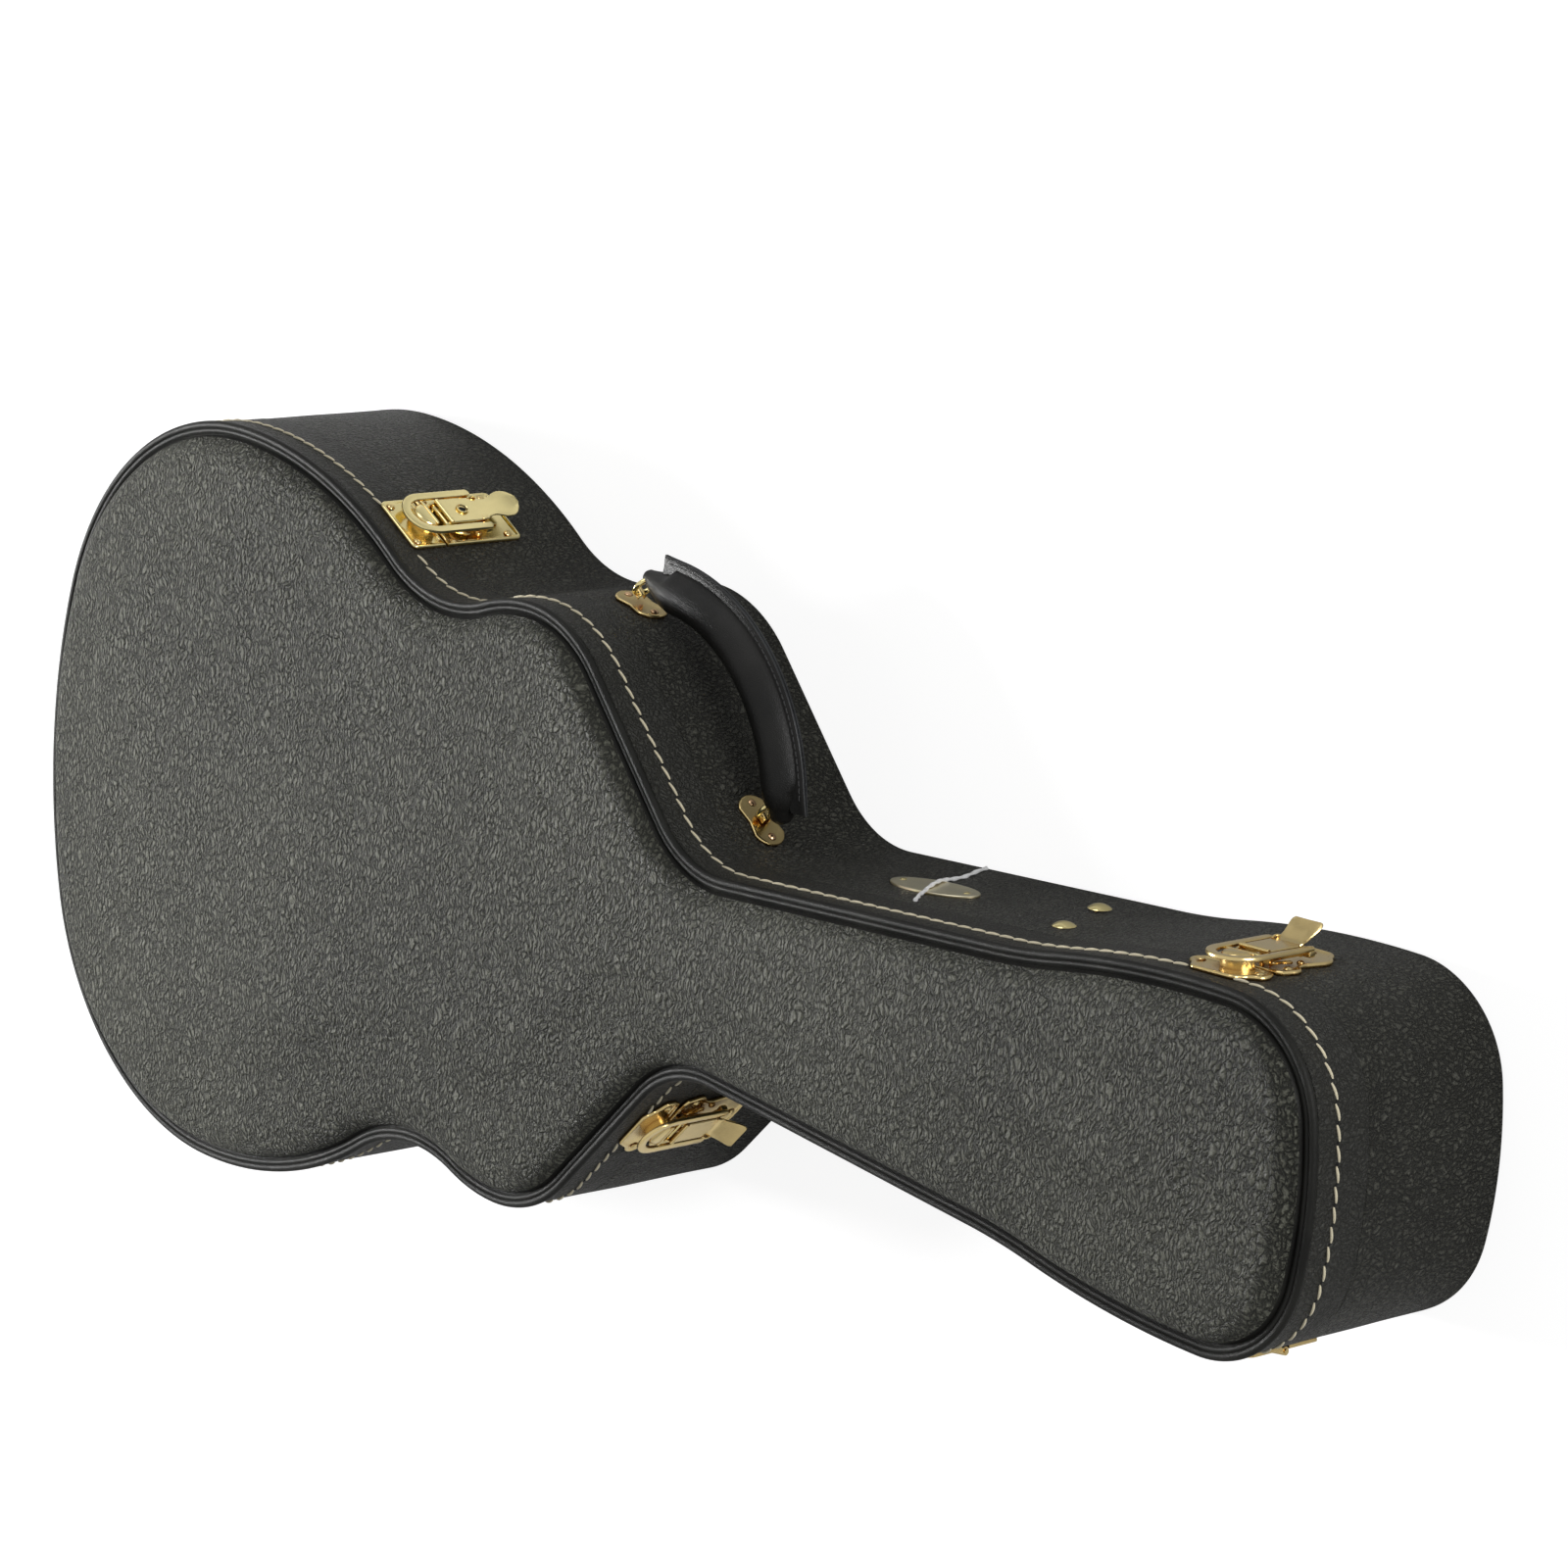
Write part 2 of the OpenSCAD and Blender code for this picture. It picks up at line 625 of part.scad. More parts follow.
// two-lobed mounting plate, in the wall frame
mount_pinch = 8.5;
function mount_points() = let (h = concat(
    arc([mount_half - mount_lobe, 0], mount_lobe, -75, 75, 8), [[0, mount_pinch]]))
  concat(h, [for (i = [0:8]) let (p = h[8 - i]) [-p[0], p[1]]], [[0, -mount_pinch]]);
module at_mount(spot, sink) {
  translate([0, 0, -handle_drop]) on_wall(spot, seat_depth - sink) children();
}
handle_out = 270 - chord_angle;
module handle_mount(spot, sink, x) {
  turned = handle_out - (180 + spot[2]);
  lug_x = ring_radius * sin(turned);
  lug_y = ring_standoff - ring_radius * cos(turned) + sink + ring_wire + lug_over;
  color(gold) difference() {
    at_mount(spot, sink) {
      difference() {
        plate_xz(mount_points(), 0, mount_t);
        for (p = mount_rivets)
          bar_y(p[0], p[1], -1, mount_t + 1, rivet_r + hole_clear);
      }
      block(lug_x - lug_half, lug_x + lug_half, mount_t - eps, lug_y, -lug_depth, lug_depth);
    }
    at_handle() ring_torus(x, lug_slack);
  }
}
bout_sink = 1.7;
neck_sink = 0;
module mount_seat(spot, sink) {
  at_mount(spot, sink)
    block(-mount_half - seat_margin, mount_half + seat_margin, 0, mount_seat_cut,
      -mount_lobe - seat_margin, mount_lobe + seat_margin);
}
module bout_handle_mount() { handle_mount(bout_mount_spot, bout_sink, -ring_half_span); }
module neck_handle_mount() { handle_mount(neck_mount_spot, neck_sink, ring_half_span); }
module handle_mount_rivets() {
  color(gold) {
    at_mount(bout_mount_spot, bout_sink)
      for (p = mount_rivets) rivet(p[0], p[1], mount_t, mount_t + shank_hold);
    at_mount(neck_mount_spot, neck_sink)
      for (p = mount_rivets) rivet(p[0], p[1], mount_t, mount_t + shank_hold);
  }
}

// ---- blank plate and studs on the neck wall ----

oval_station = 697;
oval_level = 63.5;
oval_half = 31;
oval_rise = 14;
oval_t = 1.4;
oval_lift = 0.15;
pin_offset = 24;
pin_head_r = 2.2;
pin_head_h = 0.8;
pin_shank_r = 0.9;
stud_r = 6.5;
stud_h = 2.6;
stud_shank_r = 2;
// flat neck wall
function neck_spot(s) = [s - wall_inset * neck_n[0],
  (neck_off - neck_n[0] * s) / neck_n[1] - wall_inset * neck_n[1], neck_normal, -1];
// flared wall before the head
function flare_spot(s) = let (c = flare_c, r = head_flare_radius + wall_inset,
    a = acos((c[0] - s) / r)) [s, c[1] - r * sin(a), a, -1];
studs = [[807, 79], [789, 35]];

module at_neck(spot, level) {
  translate([0, 0, level - base_height]) on_wall(spot, seat_depth) children();
}
module oval_plate() {
  color(pale_gold) at_neck(neck_spot(oval_station), oval_level) difference() {
    plate_xz([for (i = [0:47]) [oval_half * cos(i * 7.5), oval_rise * sin(i * 7.5)]],
      oval_lift, oval_t);
    for (s = [-1, 1]) bar_y(s * pin_offset, 0, -1, oval_t + 1, pin_shank_r + hole_clear);
  }
}
module dome_pin(x, z, seat, depth, r, h, shank) {
  bar_y(x, z, seat - depth, seat + eps, shank);
  translate([x, seat, z]) rotate([-90, 0, 0])
    rotate_extrude($fn = round_fn) rivet_profile(r, h);
}
module oval_plate_pins() {
  color(gold) at_neck(neck_spot(oval_station), oval_level)
    for (s = [-1, 1])
      dome_pin(s * pin_offset, 0, oval_t, oval_t + shank_hold, pin_head_r, pin_head_h, pin_shank_r);
}
stud_lift = 0.4;
stud_hold = 4;
module neck_studs() {
  color(gold) for (p = studs)
    at_neck(flare_spot(p[0]), p[1])
      dome_pin(0, 0, stud_lift, stud_hold, stud_r, stud_h, stud_shank_r);
}
module neck_wall_holes() {
  at_neck(neck_spot(oval_station), oval_level)
    for (s = [-1, 1]) bar_y(s * pin_offset, 0, -wall - 1, 1, pin_shank_r + hole_clear);
  for (p = studs)
    at_neck(flare_spot(p[0]), p[1])
      bar_y(0, 0, -wall - 1, 1, stud_shank_r + hole_clear);
}

// ---- shell ----

module base_rim() {
  color(charcoal) difference() {
    ring(wall_inset, wall_in, back_thickness, base_height);
    latch_seats();
    hinge_seats();
    mount_seat(bout_mount_spot, bout_sink);
    mount_seat(neck_mount_spot, neck_sink);
    latch_wall_holes(bout_spot, straight_base_rivets);
    latch_wall_holes(head_spot, ogee_base_rivets);
    latch_wall_holes(shoulder_spot, ogee_base_rivets);
    latch_wall_holes(butt_spot, ogee_base_rivets);
    hinge_wall_holes(-1);
    at_mount(bout_mount_spot, bout_sink)
      for (p = mount_rivets) bar_y(p[0], p[1], -wall - 1, 1, rivet_r + hole_clear);
    at_mount(neck_mount_spot, neck_sink)
      for (p = mount_rivets) bar_y(p[0], p[1], -wall - 3, 1, rivet_r + hole_clear);
    neck_wall_holes();
  }
}
module back_panel() { color(charcoal) slab(wall_inset, 0, back_thickness); }
tongue_gap = 0.4;
tongue_t = 2;
tongue_depth = 44;
tongue_in = wall_in + tongue_gap + tongue_t;
module rim_tongue() {
  color(plush)
    ring(wall_in + tongue_gap, tongue_in, base_height - tongue_depth,
      base_height + tongue_rise);
}
lining_gap = 0.4;
lining_in = tongue_in + lining_gap;
lining_top = base_height - 1;
module base_lining() {
  color(plush) difference() {
    slab(lining_in, back_thickness + lining_gap, lining_top);
    slab(lining_in + padding, hollow_floor, lining_top + 1);
  }
}
cradle_station = 720;
cradle_half = 20;
cradle_half_width = 38;
cradle_top = 78;
neck_rest_r = 28;
neck_rest_z = 86;
module neck_cradle() {
  x = lower_bout_station - cradle_station;
  color(plush) difference() {
    block(x - cradle_half, x + cradle_half, -cradle_half_width, cradle_half_width,
      hollow_floor + lining_gap, cradle_top);
    bar_x(x - cradle_half - 1, x + cradle_half + 1, 0, neck_rest_z, neck_rest_r);
  }
}

box_end = 690;
box_half = 30;
box_wall = 3;
box_x0 = lower_bout_station - box_end;
box_x1 = box_x0 + box_length;
box_floor = hollow_floor + lining_gap;
box_top = hollow_floor + box_height;
box_pin_y = 27.5;
box_pin_z = box_top + 2.5;
box_pin_r = 1;
barrel_r = 2.2;
lug_len = 4;
lug_gap = 0.3;
lid_t = 2.8;
module accessory_box() {
  color(plush) difference() {
    union() {
      difference() {
        block(box_x0, box_x1, -box_half, box_half, box_floor, box_top);
        block(box_x0 + box_wall, box_x1 - box_wall, -box_half + box_wall,
          box_half - box_wall, box_floor + box_wall, box_top + 1);
      }
      for (x = [box_x0, box_x1 - lug_len])
        block(x, x + lug_len, box_pin_y - barrel_r, box_half, box_top - eps,
          box_pin_z + barrel_r);
    }
    bar_x(box_x0 - 1, box_x1 + 1, box_pin_y, box_pin_z, box_pin_r + pin_clear);
  }
}
module accessory_lid() {
  x0 = box_x0 + lug_len + lug_gap;
  x1 = box_x1 - lug_len - lug_gap;
  color(plush) difference() {
    union() {
      block(x0, x1, -box_half, box_pin_y, box_pin_z - lid_t / 2, box_pin_z + lid_t / 2);
      bar_x(x0, x1, box_pin_y, box_pin_z, barrel_r);
    }
    bar_x(x0 - 1, x1 + 1, box_pin_y, box_pin_z, box_pin_r + pin_clear);
  }
}
module accessory_pin() {
  color(gold) bar_x(box_x0 + 0.5, box_x1 - 0.5, box_pin_y, box_pin_z, box_pin_r);
}
pull_half = 7;
pull_t = 1.2;
pull_gap = 0.05;
pull_front = 3;
pull_back = 14;
module accessory_pull() {
  x = (box_x0 + box_x1) / 2;
  z = box_pin_z + lid_t / 2 + pull_gap;
  color(dark)
    block(x - pull_half, x + pull_half, -box_half - pull_front, -box_half + pull_back,
      z, z + pull_t);
}

// ---- lid ----

module lid_rim() {
  color(charcoal) difference() {
    ring(wall_inset, wall_in, base_height + parting_gap, lid_top);
    latch_seats();
    hinge_seats();
    latch_wall_holes(bout_spot, straight_catch_rivets);
    latch_wall_holes(head_spot, ogee_catch_rivets);
    latch_wall_holes(shoulder_spot, ogee_catch_rivets);
    latch_wall_holes(butt_spot, ogee_catch_rivets);
    hinge_wall_holes(1);
  }
}
module lid_piping() {
  color(dark) ring(0, piping_width, lid_top, lid_top + piping_height);
}
// arched lid shell: rings of [inset, height] from the edge to the crown
panel_edge = piping_width + 0.2;
panel_skin = 4;
crown_inset = 48;
arch_steps = 7;
// steep at the edge, flattening toward the crown
function arch(t) = [panel_edge + (crown_inset - panel_edge) * t^1.6, arch_rise * sin(90 * t)];
outer_rings = [for (i = [0:arch_steps]) arch(i / arch_steps)];
inner_rings = [for (i = [0:arch_steps]) let (p = arch(i / arch_steps))
  [p[0] + panel_skin * (1 - 0.6 * i / arch_steps), max(0, p[1] - panel_skin * i / arch_steps)]];
// flat fill between the two mirrored sides of one ring of n points starting at base
function fill(base, n, up) = let (m = n / 2, f = concat(
    [[base + m, base + m - 1, base + m + 1]],
    [for (j = [1:m - 2]) [base + m - j, base + m - j - 1, base + m + j + 1, base + m + j]],
    [[base + 1, base, base + n - 1]]))
  up ? f : [for (q = f) [for (i = [len(q) - 1:-1:0]) q[i]]];
module lid_panel() {
  all_rings = concat(outer_rings, inner_rings);
  n = len(loop_points(0));
  m = arch_steps + 1;
  points = [for (r = all_rings) for (p = loop_points(r[0])) [p[0], p[1], lid_top + r[1]]];
  function quad(a, b, i) = let (j = (i + 1) % n) [a * n + i, b * n + i, b * n + j, a * n + j];
  faces = concat(
    [for (k = [0:m - 2]) for (i = [0:n - 1]) quad(k, k + 1, i)],
    fill((m - 1) * n, n, true),
    [for (k = [0:m - 2]) for (i = [0:n - 1]) quad(m + k + 1, m + k, i)],
    fill((2 * m - 1) * n, n, false),
    [for (i = [0:n - 1]) quad(m, 0, i)]);
  color(charcoal) polyhedron(points, faces, convexity = 6);
}
lid_pad_t = 10;
lid_plush_gap = 0.6;
module lid_lining() {
  color(plush) slab(lining_in + lid_plush_gap, lid_top - lid_pad_t - lid_plush_gap, lid_top - lid_plush_gap);
}

// ---- latch nodes ----

module bout_catch_plate() {
  color(gold) on_wall(bout_spot) catch_plate(straight_catch(), straight_catch_rivets);
}
module bout_latch_base() {
  color(gold) on_wall(bout_spot) latch_base(straight_base(), straight_base_rivets);
}
module bout_lever() { color(gold) on_wall(bout_spot) lever(true, tab_tilt, necked_tab()); }
module bout_loop() { color(gold) on_wall(bout_spot) latch_loop(); }
module bout_loop_pin() { color(gold) on_wall(bout_spot) loop_pin(); }
module bout_key_cylinder() { color(pale_gold) on_wall(bout_spot) key_cylinder(); }

module head_catch_plate() {
  color(gold) on_wall(head_spot) catch_plate(ogee_catch(), ogee_catch_rivets);
}
module head_latch_base() {
  color(gold) on_wall(head_spot) latch_base(ogee_base(), ogee_base_rivets);
}
module head_lever() { color(gold) on_wall(head_spot) lever(false, ogee_tab_tilt, square_tab()); }
module head_loop() { color(gold) on_wall(head_spot) latch_loop(); }
module head_loop_pin() { color(gold) on_wall(head_spot) loop_pin(); }

module shoulder_catch_plate() {
  color(gold) on_wall(shoulder_spot) catch_plate(ogee_catch(), ogee_catch_rivets);
}
module shoulder_latch_base() {
  color(gold) on_wall(shoulder_spot) latch_base(ogee_base(), ogee_base_rivets);
}
module shoulder_lever() { color(gold) on_wall(shoulder_spot) lever(false, ogee_tab_tilt, square_tab()); }
module shoulder_loop() { color(gold) on_wall(shoulder_spot) latch_loop(); }
module shoulder_loop_pin() { color(gold) on_wall(shoulder_spot) loop_pin(); }

module butt_catch_plate() {
  color(gold) on_wall(butt_spot) catch_plate(ogee_catch(), ogee_catch_rivets);
}
module butt_latch_base() {
  color(gold) on_wall(butt_spot) latch_base(ogee_base(), ogee_base_rivets);
}
module butt_lever() { color(gold) on_wall(butt_spot) lever(false, ogee_tab_tilt, square_tab()); }
module butt_loop() { color(gold) on_wall(butt_spot) latch_loop(); }
module butt_loop_pin() { color(gold) on_wall(butt_spot) loop_pin(); }

all_latch_spots = [bout_spot, head_spot, shoulder_spot, butt_spot];
ogee_spots = [head_spot, shoulder_spot, butt_spot];
module latch_pivot_pins() {
  color(gold) for (s = all_latch_spots) on_wall(s) pivot_pin();
}
module lid_plate_rivets() {
  color(gold) {
    on_wall(bout_spot) for (p = straight_catch_rivets) rivet(p[0], p[1], plate_t, rivet_depth);
    for (s = ogee_spots) on_wall(s)
      for (p = ogee_catch_rivets) rivet(p[0], p[1], plate_t, rivet_depth);
  }
}
module base_plate_rivets() {
  color(gold) {
    on_wall(bout_spot) for (p = straight_base_rivets) rivet(p[0], p[1], plate_t, rivet_depth);
    for (s = ogee_spots) on_wall(s)
      for (p = ogee_base_rivets) rivet(p[0], p[1], plate_t, rivet_depth);
  }
}

// ---- hinge nodes ----

module bout_hinge_base_leaf() { color(gold) on_wall(bout_hinge_spot) base_leaf(); }
module bout_hinge_lid_leaf() { color(gold) on_wall(bout_hinge_spot) lid_leaf(); }
module head_hinge_base_leaf() { color(gold) on_wall(head_hinge_spot) base_leaf(); }
module head_hinge_lid_leaf() { color(gold) on_wall(head_hinge_spot) lid_leaf(); }
module hinge_pins() {
  color(gold) for (s = hinge_spots) on_wall(s) hinge_pin();
}
module hinge_rivets(up) {
  color(gold) for (s = hinge_spots)
    on_wall(s) for (p = hinge_rivet_spots) rivet(p[0], up * p[1], leaf_t, leaf_t + shank_hold);
}
module hinge_base_rivets() { hinge_rivets(-1); }
module hinge_lid_rivets() { hinge_rivets(1); }

base_rim();
back_panel();
rim_tongue();
base_lining();
neck_cradle();
accessory_box();
accessory_lid();
accessory_pin();
accessory_pull();
lid_rim();
lid_panel();
lid_piping();
lid_lining();
bout_catch_plate();
bout_latch_base();
bout_lever();
bout_loop();
bout_loop_pin();
bout_key_cylinder();
head_catch_plate();
head_latch_base();
head_lever();
head_loop();
head_loop_pin();
shoulder_catch_plate();
shoulder_latch_base();
shoulder_lever();
shoulder_loop();
shoulder_loop_pin();
butt_catch_plate();
butt_latch_base();
butt_lever();
butt_loop();
butt_loop_pin();
latch_pivot_pins();
lid_plate_rivets();
base_plate_rivets();
bout_hinge_base_leaf();
bout_hinge_lid_leaf();
head_hinge_base_leaf();
head_hinge_lid_leaf();
hinge_pins();
hinge_base_rivets();
hinge_lid_rivets();
handle_grip();
bout_handle_ring();
neck_handle_ring();
bout_handle_mount();
neck_handle_mount();
handle_mount_rivets();
oval_plate();
oval_plate_pins();
neck_studs();
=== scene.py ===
from math import asin, atan2, ceil, cos, degrees, exp, pi, sin, sqrt
import bpy
import bmesh
import numpy as np
from mathutils import Matrix, Vector, noise


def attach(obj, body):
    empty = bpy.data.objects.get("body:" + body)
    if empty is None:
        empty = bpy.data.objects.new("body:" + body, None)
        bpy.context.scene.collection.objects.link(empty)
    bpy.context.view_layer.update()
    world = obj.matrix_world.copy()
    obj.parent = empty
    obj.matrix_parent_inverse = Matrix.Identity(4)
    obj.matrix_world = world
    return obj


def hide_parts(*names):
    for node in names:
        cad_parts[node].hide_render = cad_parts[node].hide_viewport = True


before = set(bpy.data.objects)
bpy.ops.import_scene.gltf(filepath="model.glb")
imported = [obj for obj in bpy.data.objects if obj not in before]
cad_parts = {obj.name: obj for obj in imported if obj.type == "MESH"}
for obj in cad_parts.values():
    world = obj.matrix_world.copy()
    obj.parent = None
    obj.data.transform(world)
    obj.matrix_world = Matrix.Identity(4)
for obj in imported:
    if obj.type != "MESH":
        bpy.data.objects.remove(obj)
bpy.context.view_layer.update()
MM = 0.001
SCENE = bpy.context.scene


def rad(a):
    return a * pi / 180


def unit(a):
    return np.array([cos(rad(a)), sin(rad(a))])


def vec2(x, y):
    return np.array([x, y], float)


def turn(v):
    return degrees(atan2(v[1], v[0]))


def smoothstep(w):
    return w * w * (3 - 2 * w)


def around(n):
    """Even angles round a full turn."""
    return np.linspace(0, 2 * pi, n, endpoint=False)


# ---------------------------------------------------------------- outline, in mm
# distances from the butt end and half widths; the same tangent arcs as the CAD
STATION0 = 174.0
BASE_H = 99.0
LID_TOP = 134.5
LOWER_R, WAIST_S, UPPER_R, FILLET_R = 260.0, 373.0, 79.0, 62.5
FLARE_R, SIDE_R, CORNER_R = 397.0, 585.0, 61.5
LENGTH, HEAD_S = 1040.0, 976.0

LOWER_H, WAIST_H, UPPER_S, UPPER_H, HEAD_H = 221.0, 158.5, 443.0, 171.5, 92.2
BUTT_CORNER_R, SHOULDER_TILT, NECK_TILT = 167.0, 47.7, 4.8
NECK_S, NECK_H = 640.0, 59.4

butt_c = vec2(STATION0, LOWER_H - BUTT_CORNER_R)
butt_r = (STATION0**2 + butt_c[1]**2 - BUTT_CORNER_R**2) / (2 * (STATION0 - BUTT_CORNER_R))
butt_turn = turn(butt_c - vec2(butt_r, 0))
lower_c = vec2(STATION0, LOWER_H - LOWER_R)
run, drop = WAIST_S - STATION0, WAIST_H - lower_c[1]
waist_r = (LOWER_R**2 - run**2 - drop**2) / (2 * (drop - LOWER_R))
waist_c = vec2(WAIST_S, WAIST_H + waist_r)
lower_turn = turn(waist_c - lower_c)
run, gap = UPPER_S - WAIST_S, waist_c[1] - UPPER_H
upper_side_r = (waist_r**2 - run**2 - gap**2) / (2 * (gap - waist_r))
upper_side_c = vec2(UPPER_S, UPPER_H - upper_side_r)
waist_turn = turn(upper_side_c - waist_c)
upper_c = vec2(UPPER_S, UPPER_H - UPPER_R)
shoulder_normal = 90 - SHOULDER_TILT
shoulder_n = unit(shoulder_normal)
shoulder_off = shoulder_n @ upper_c + UPPER_R
neck_normal = 90 + NECK_TILT
neck_n = unit(neck_normal)
neck_off = neck_n @ vec2(NECK_S, NECK_H)
fillet_c = np.linalg.solve(np.array([shoulder_n, neck_n]),
                           [shoulder_off + FILLET_R, neck_off + FILLET_R])
side_c = vec2(HEAD_S, HEAD_H - SIDE_R)
flare_drop = neck_off + FLARE_R - neck_n @ side_c
flare_c = side_c + neck_n * flare_drop + vec2(-neck_n[1], neck_n[0]) * sqrt(
    (SIDE_R + FLARE_R)**2 - flare_drop**2)
flare_turn = turn(flare_c - side_c)
corner_c = vec2(HEAD_S, HEAD_H - CORNER_R)
end_run = LENGTH - HEAD_S
end_r = (end_run**2 + corner_c[1]**2 - CORNER_R**2) / (2 * (end_run - CORNER_R))
end_c = vec2(LENGTH - end_r, 0)
end_turn = turn(corner_c - end_c)

STEP = 3.0
SEGMENTS = [
    (vec2(butt_r, 0), butt_r, 180, butt_turn, 1), (butt_c, BUTT_CORNER_R, butt_turn, 90, 1),
    (lower_c, LOWER_R, 90, lower_turn, 1),
    (waist_c, waist_r, lower_turn - 180, waist_turn, -1),
    (upper_side_c, upper_side_r, waist_turn + 180, 90, 1),
    (upper_c, UPPER_R, 90, shoulder_normal, 1),
    (fillet_c, FILLET_R, shoulder_normal + 180, neck_normal + 180, -1),
    (flare_c, FLARE_R, neck_normal + 180, flare_turn + 180, -1),
    (side_c, SIDE_R, flare_turn, 90, 1), (corner_c, CORNER_R, 90, end_turn, 1),
    (end_c, end_r, end_turn, 0, 1)]


def half_outline():
    """Points and outward normals from the butt end to the head end, one side."""
    pts, nrm = [], []
    for c, r, a0, a1, sign in SEGMENTS:
        n = max(2, ceil(r * rad(abs(a1 - a0)) / STEP))
        new = [(c + r * unit(a0 + (a1 - a0) * i / n), sign * unit(a0 + (a1 - a0) * i / n))
               for i in range(n + 1)]
        if pts:
            far = np.linalg.norm(new[0][0] - pts[-1])
            if far < 1e-3:
                new = new[1:]
            else:
                m = ceil(far / STEP)
                for k in range(1, m):
                    pts.append(pts[-1] + (new[0][0] - pts[-1]) / (m - k + 1))
                    nrm.append(nrm[-1])
        for p, q in new:
            pts.append(p)
            nrm.append(q)
    return np.array(pts), np.array(nrm)


HP, HN = half_outline()
LOOP = np.concatenate([np.c_[STATION0 - HP[::-1, 0], -HP[::-1, 1]],
                       np.c_[STATION0 - HP[1:-1, 0], HP[1:-1, 1]]])
LOOP_N = np.concatenate([np.c_[-HN[::-1, 0], -HN[::-1, 1]], np.c_[-HN[1:-1, 0], HN[1:-1, 1]]])
SPINE = (74.0, -788.0)


def ring(d, z):
    """The outline inset by d, at height z."""
    p = LOOP - d * LOOP_N
    return np.c_[p, np.full(len(p), float(z))]


def to_spine(start, count, height):
    """Rings from a loop inward to the centre line; height(u, distance) gives z."""
    s = np.c_[np.clip(start[:, 0], SPINE[1], SPINE[0]), np.zeros(len(start))]
    reach = np.linalg.norm(s - start[:, :2], axis=1)
    out = []
    for k in range(1, count + 1):
        u = k / count
        xy = start[:, :2] * (1 - u) + s * u
        out.append(np.c_[xy, height(u, reach * u)])
    return out


def flat(z):
    """A level sheet at height z, for to_spine."""
    return lambda u, reach: np.full(len(LOOP), float(z))


# ---------------------------------------------------------------- mesh building
class Part:
    def __init__(self):
        self.v, self.f, self.n = [], [], 0

    def add(self, pts):
        self.v.append(np.asarray(pts, float))
        self.n += len(pts)
        return self.n - len(pts)

    def loft(self, rings, closed=True, wrap=False, caps=(False, False)):
        """Quads between successive rings of equal length."""
        n, m = len(rings[0]), len(rings)
        base = self.add(np.concatenate([np.asarray(r, float) for r in rings]))
        for k in range(m if wrap else m - 1):
            a, b = base + k * n, base + ((k + 1) % m) * n
            for i in range(n if closed else n - 1):
                j = (i + 1) % n
                self.f.append((a + i, a + j, b + j, b + i))
        if caps[0]:
            self.f.append(tuple(base + i for i in range(n)))
        if caps[1]:
            self.f.append(tuple(base + (m - 1) * n + i for i in reversed(range(n))))
        return self

    def place(self, matrix):
        m = np.array(matrix)
        self.v = [p @ m[:3, :3].T + m[:3, 3] for p in self.v]
        return self

    def join(self, other):
        base = self.n
        for p in other.v:
            self.add(p)
        self.f += [tuple(base + i for i in f) for f in other.f]
        return self

    def points(self):
        return np.concatenate(self.v)


def solid(rings):
    """Closed piece: rings joined in order, with both ends filled."""
    return Part().loft(rings, caps=(True, True))


def filled(rings, low_steps, low, high_steps, high):
    """Closed pad: both end rings are carried in to the centre line."""
    return Part().loft(to_spine(rings[0], low_steps, low)[::-1] + rings
                       + to_spine(rings[-1], high_steps, high))


def add_object(name, data):
    ob = bpy.data.objects.new(name, data)
    SCENE.collection.objects.link(ob)
    return ob


def make(name, part, mat, body, replaces=(), weld=False, angle=40):
    """A shown piece from a part whose points are in mm in the row frame."""
    me = bpy.data.meshes.new(name)
    me.from_pydata((part.points() * MM).tolist(), [], part.f)
    bm = bmesh.new()
    bm.from_mesh(me)
    if weld:
        bmesh.ops.remove_doubles(bm, verts=bm.verts, dist=2e-6)
        bmesh.ops.dissolve_degenerate(bm, edges=bm.edges, dist=1e-7)
    bmesh.ops.recalc_face_normals(bm, faces=bm.faces)
    bm.to_mesh(me)
    bm.free()
    me.shade_smooth()
    me.set_sharp_from_angle(angle=rad(angle))
    ob = add_object(name, me)
    ob.data.materials.append(mat)
    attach(ob, body)
    if replaces:
        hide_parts(*replaces)
    return ob


def circle_path(c, r, a0, a1, n):
    return [c + r * unit(a0 + (a1 - a0) * i / n) for i in range(n + 1)]


def mirrored(right):
    """Closed outline from its right-hand half of [x, z] points."""
    return np.array(list(right) + [vec2(-p[0], p[1]) for p in right[::-1]])


def resample(outline, step):
    """Even points round a closed outline, keeping its corners."""
    out = []
    n = len(outline)
    for i in range(n):
        a, b = outline[i], outline[(i + 1) % n]
        m = max(1, round(np.linalg.norm(b - a) / step))
        out += [a + (b - a) * k / m for k in range(m)]
    return np.array(out)


def outline_normals(o):
    d = np.roll(o, -1, 0) - np.roll(o, 1, 0)
    n = np.c_[d[:, 1], -d[:, 0]]
    n /= np.maximum(np.linalg.norm(n, axis=1, keepdims=True), 1e-9)
    area = np.sum(o[:, 0] * np.roll(o[:, 1], -1) - np.roll(o[:, 0], -1) * o[:, 1])
    return n if area > 0 else -n


def stamped(outline, levels):
    """Plate standing on local y = 0 from [x, z] points; levels are (inset, y)."""
    n = outline_normals(outline)
    rings = []
    for d, y in levels:
        p = outline - d * n
        rings.append(np.c_[p[:, 0], np.full(len(p), float(y)), p[:, 1]])
    return solid(rings)


def ribbon(outer, inner, profile):
    """Bar swept between paired points; profile is closed (u, y), u from outer to inner."""
    sections = []
    for o, i in zip(outer, inner):
        sections.append([(o[0] + (i[0] - o[0]) * u, y, o[1] + (i[1] - o[1]) * u)
                         for u, y in profile])
    return solid(sections)


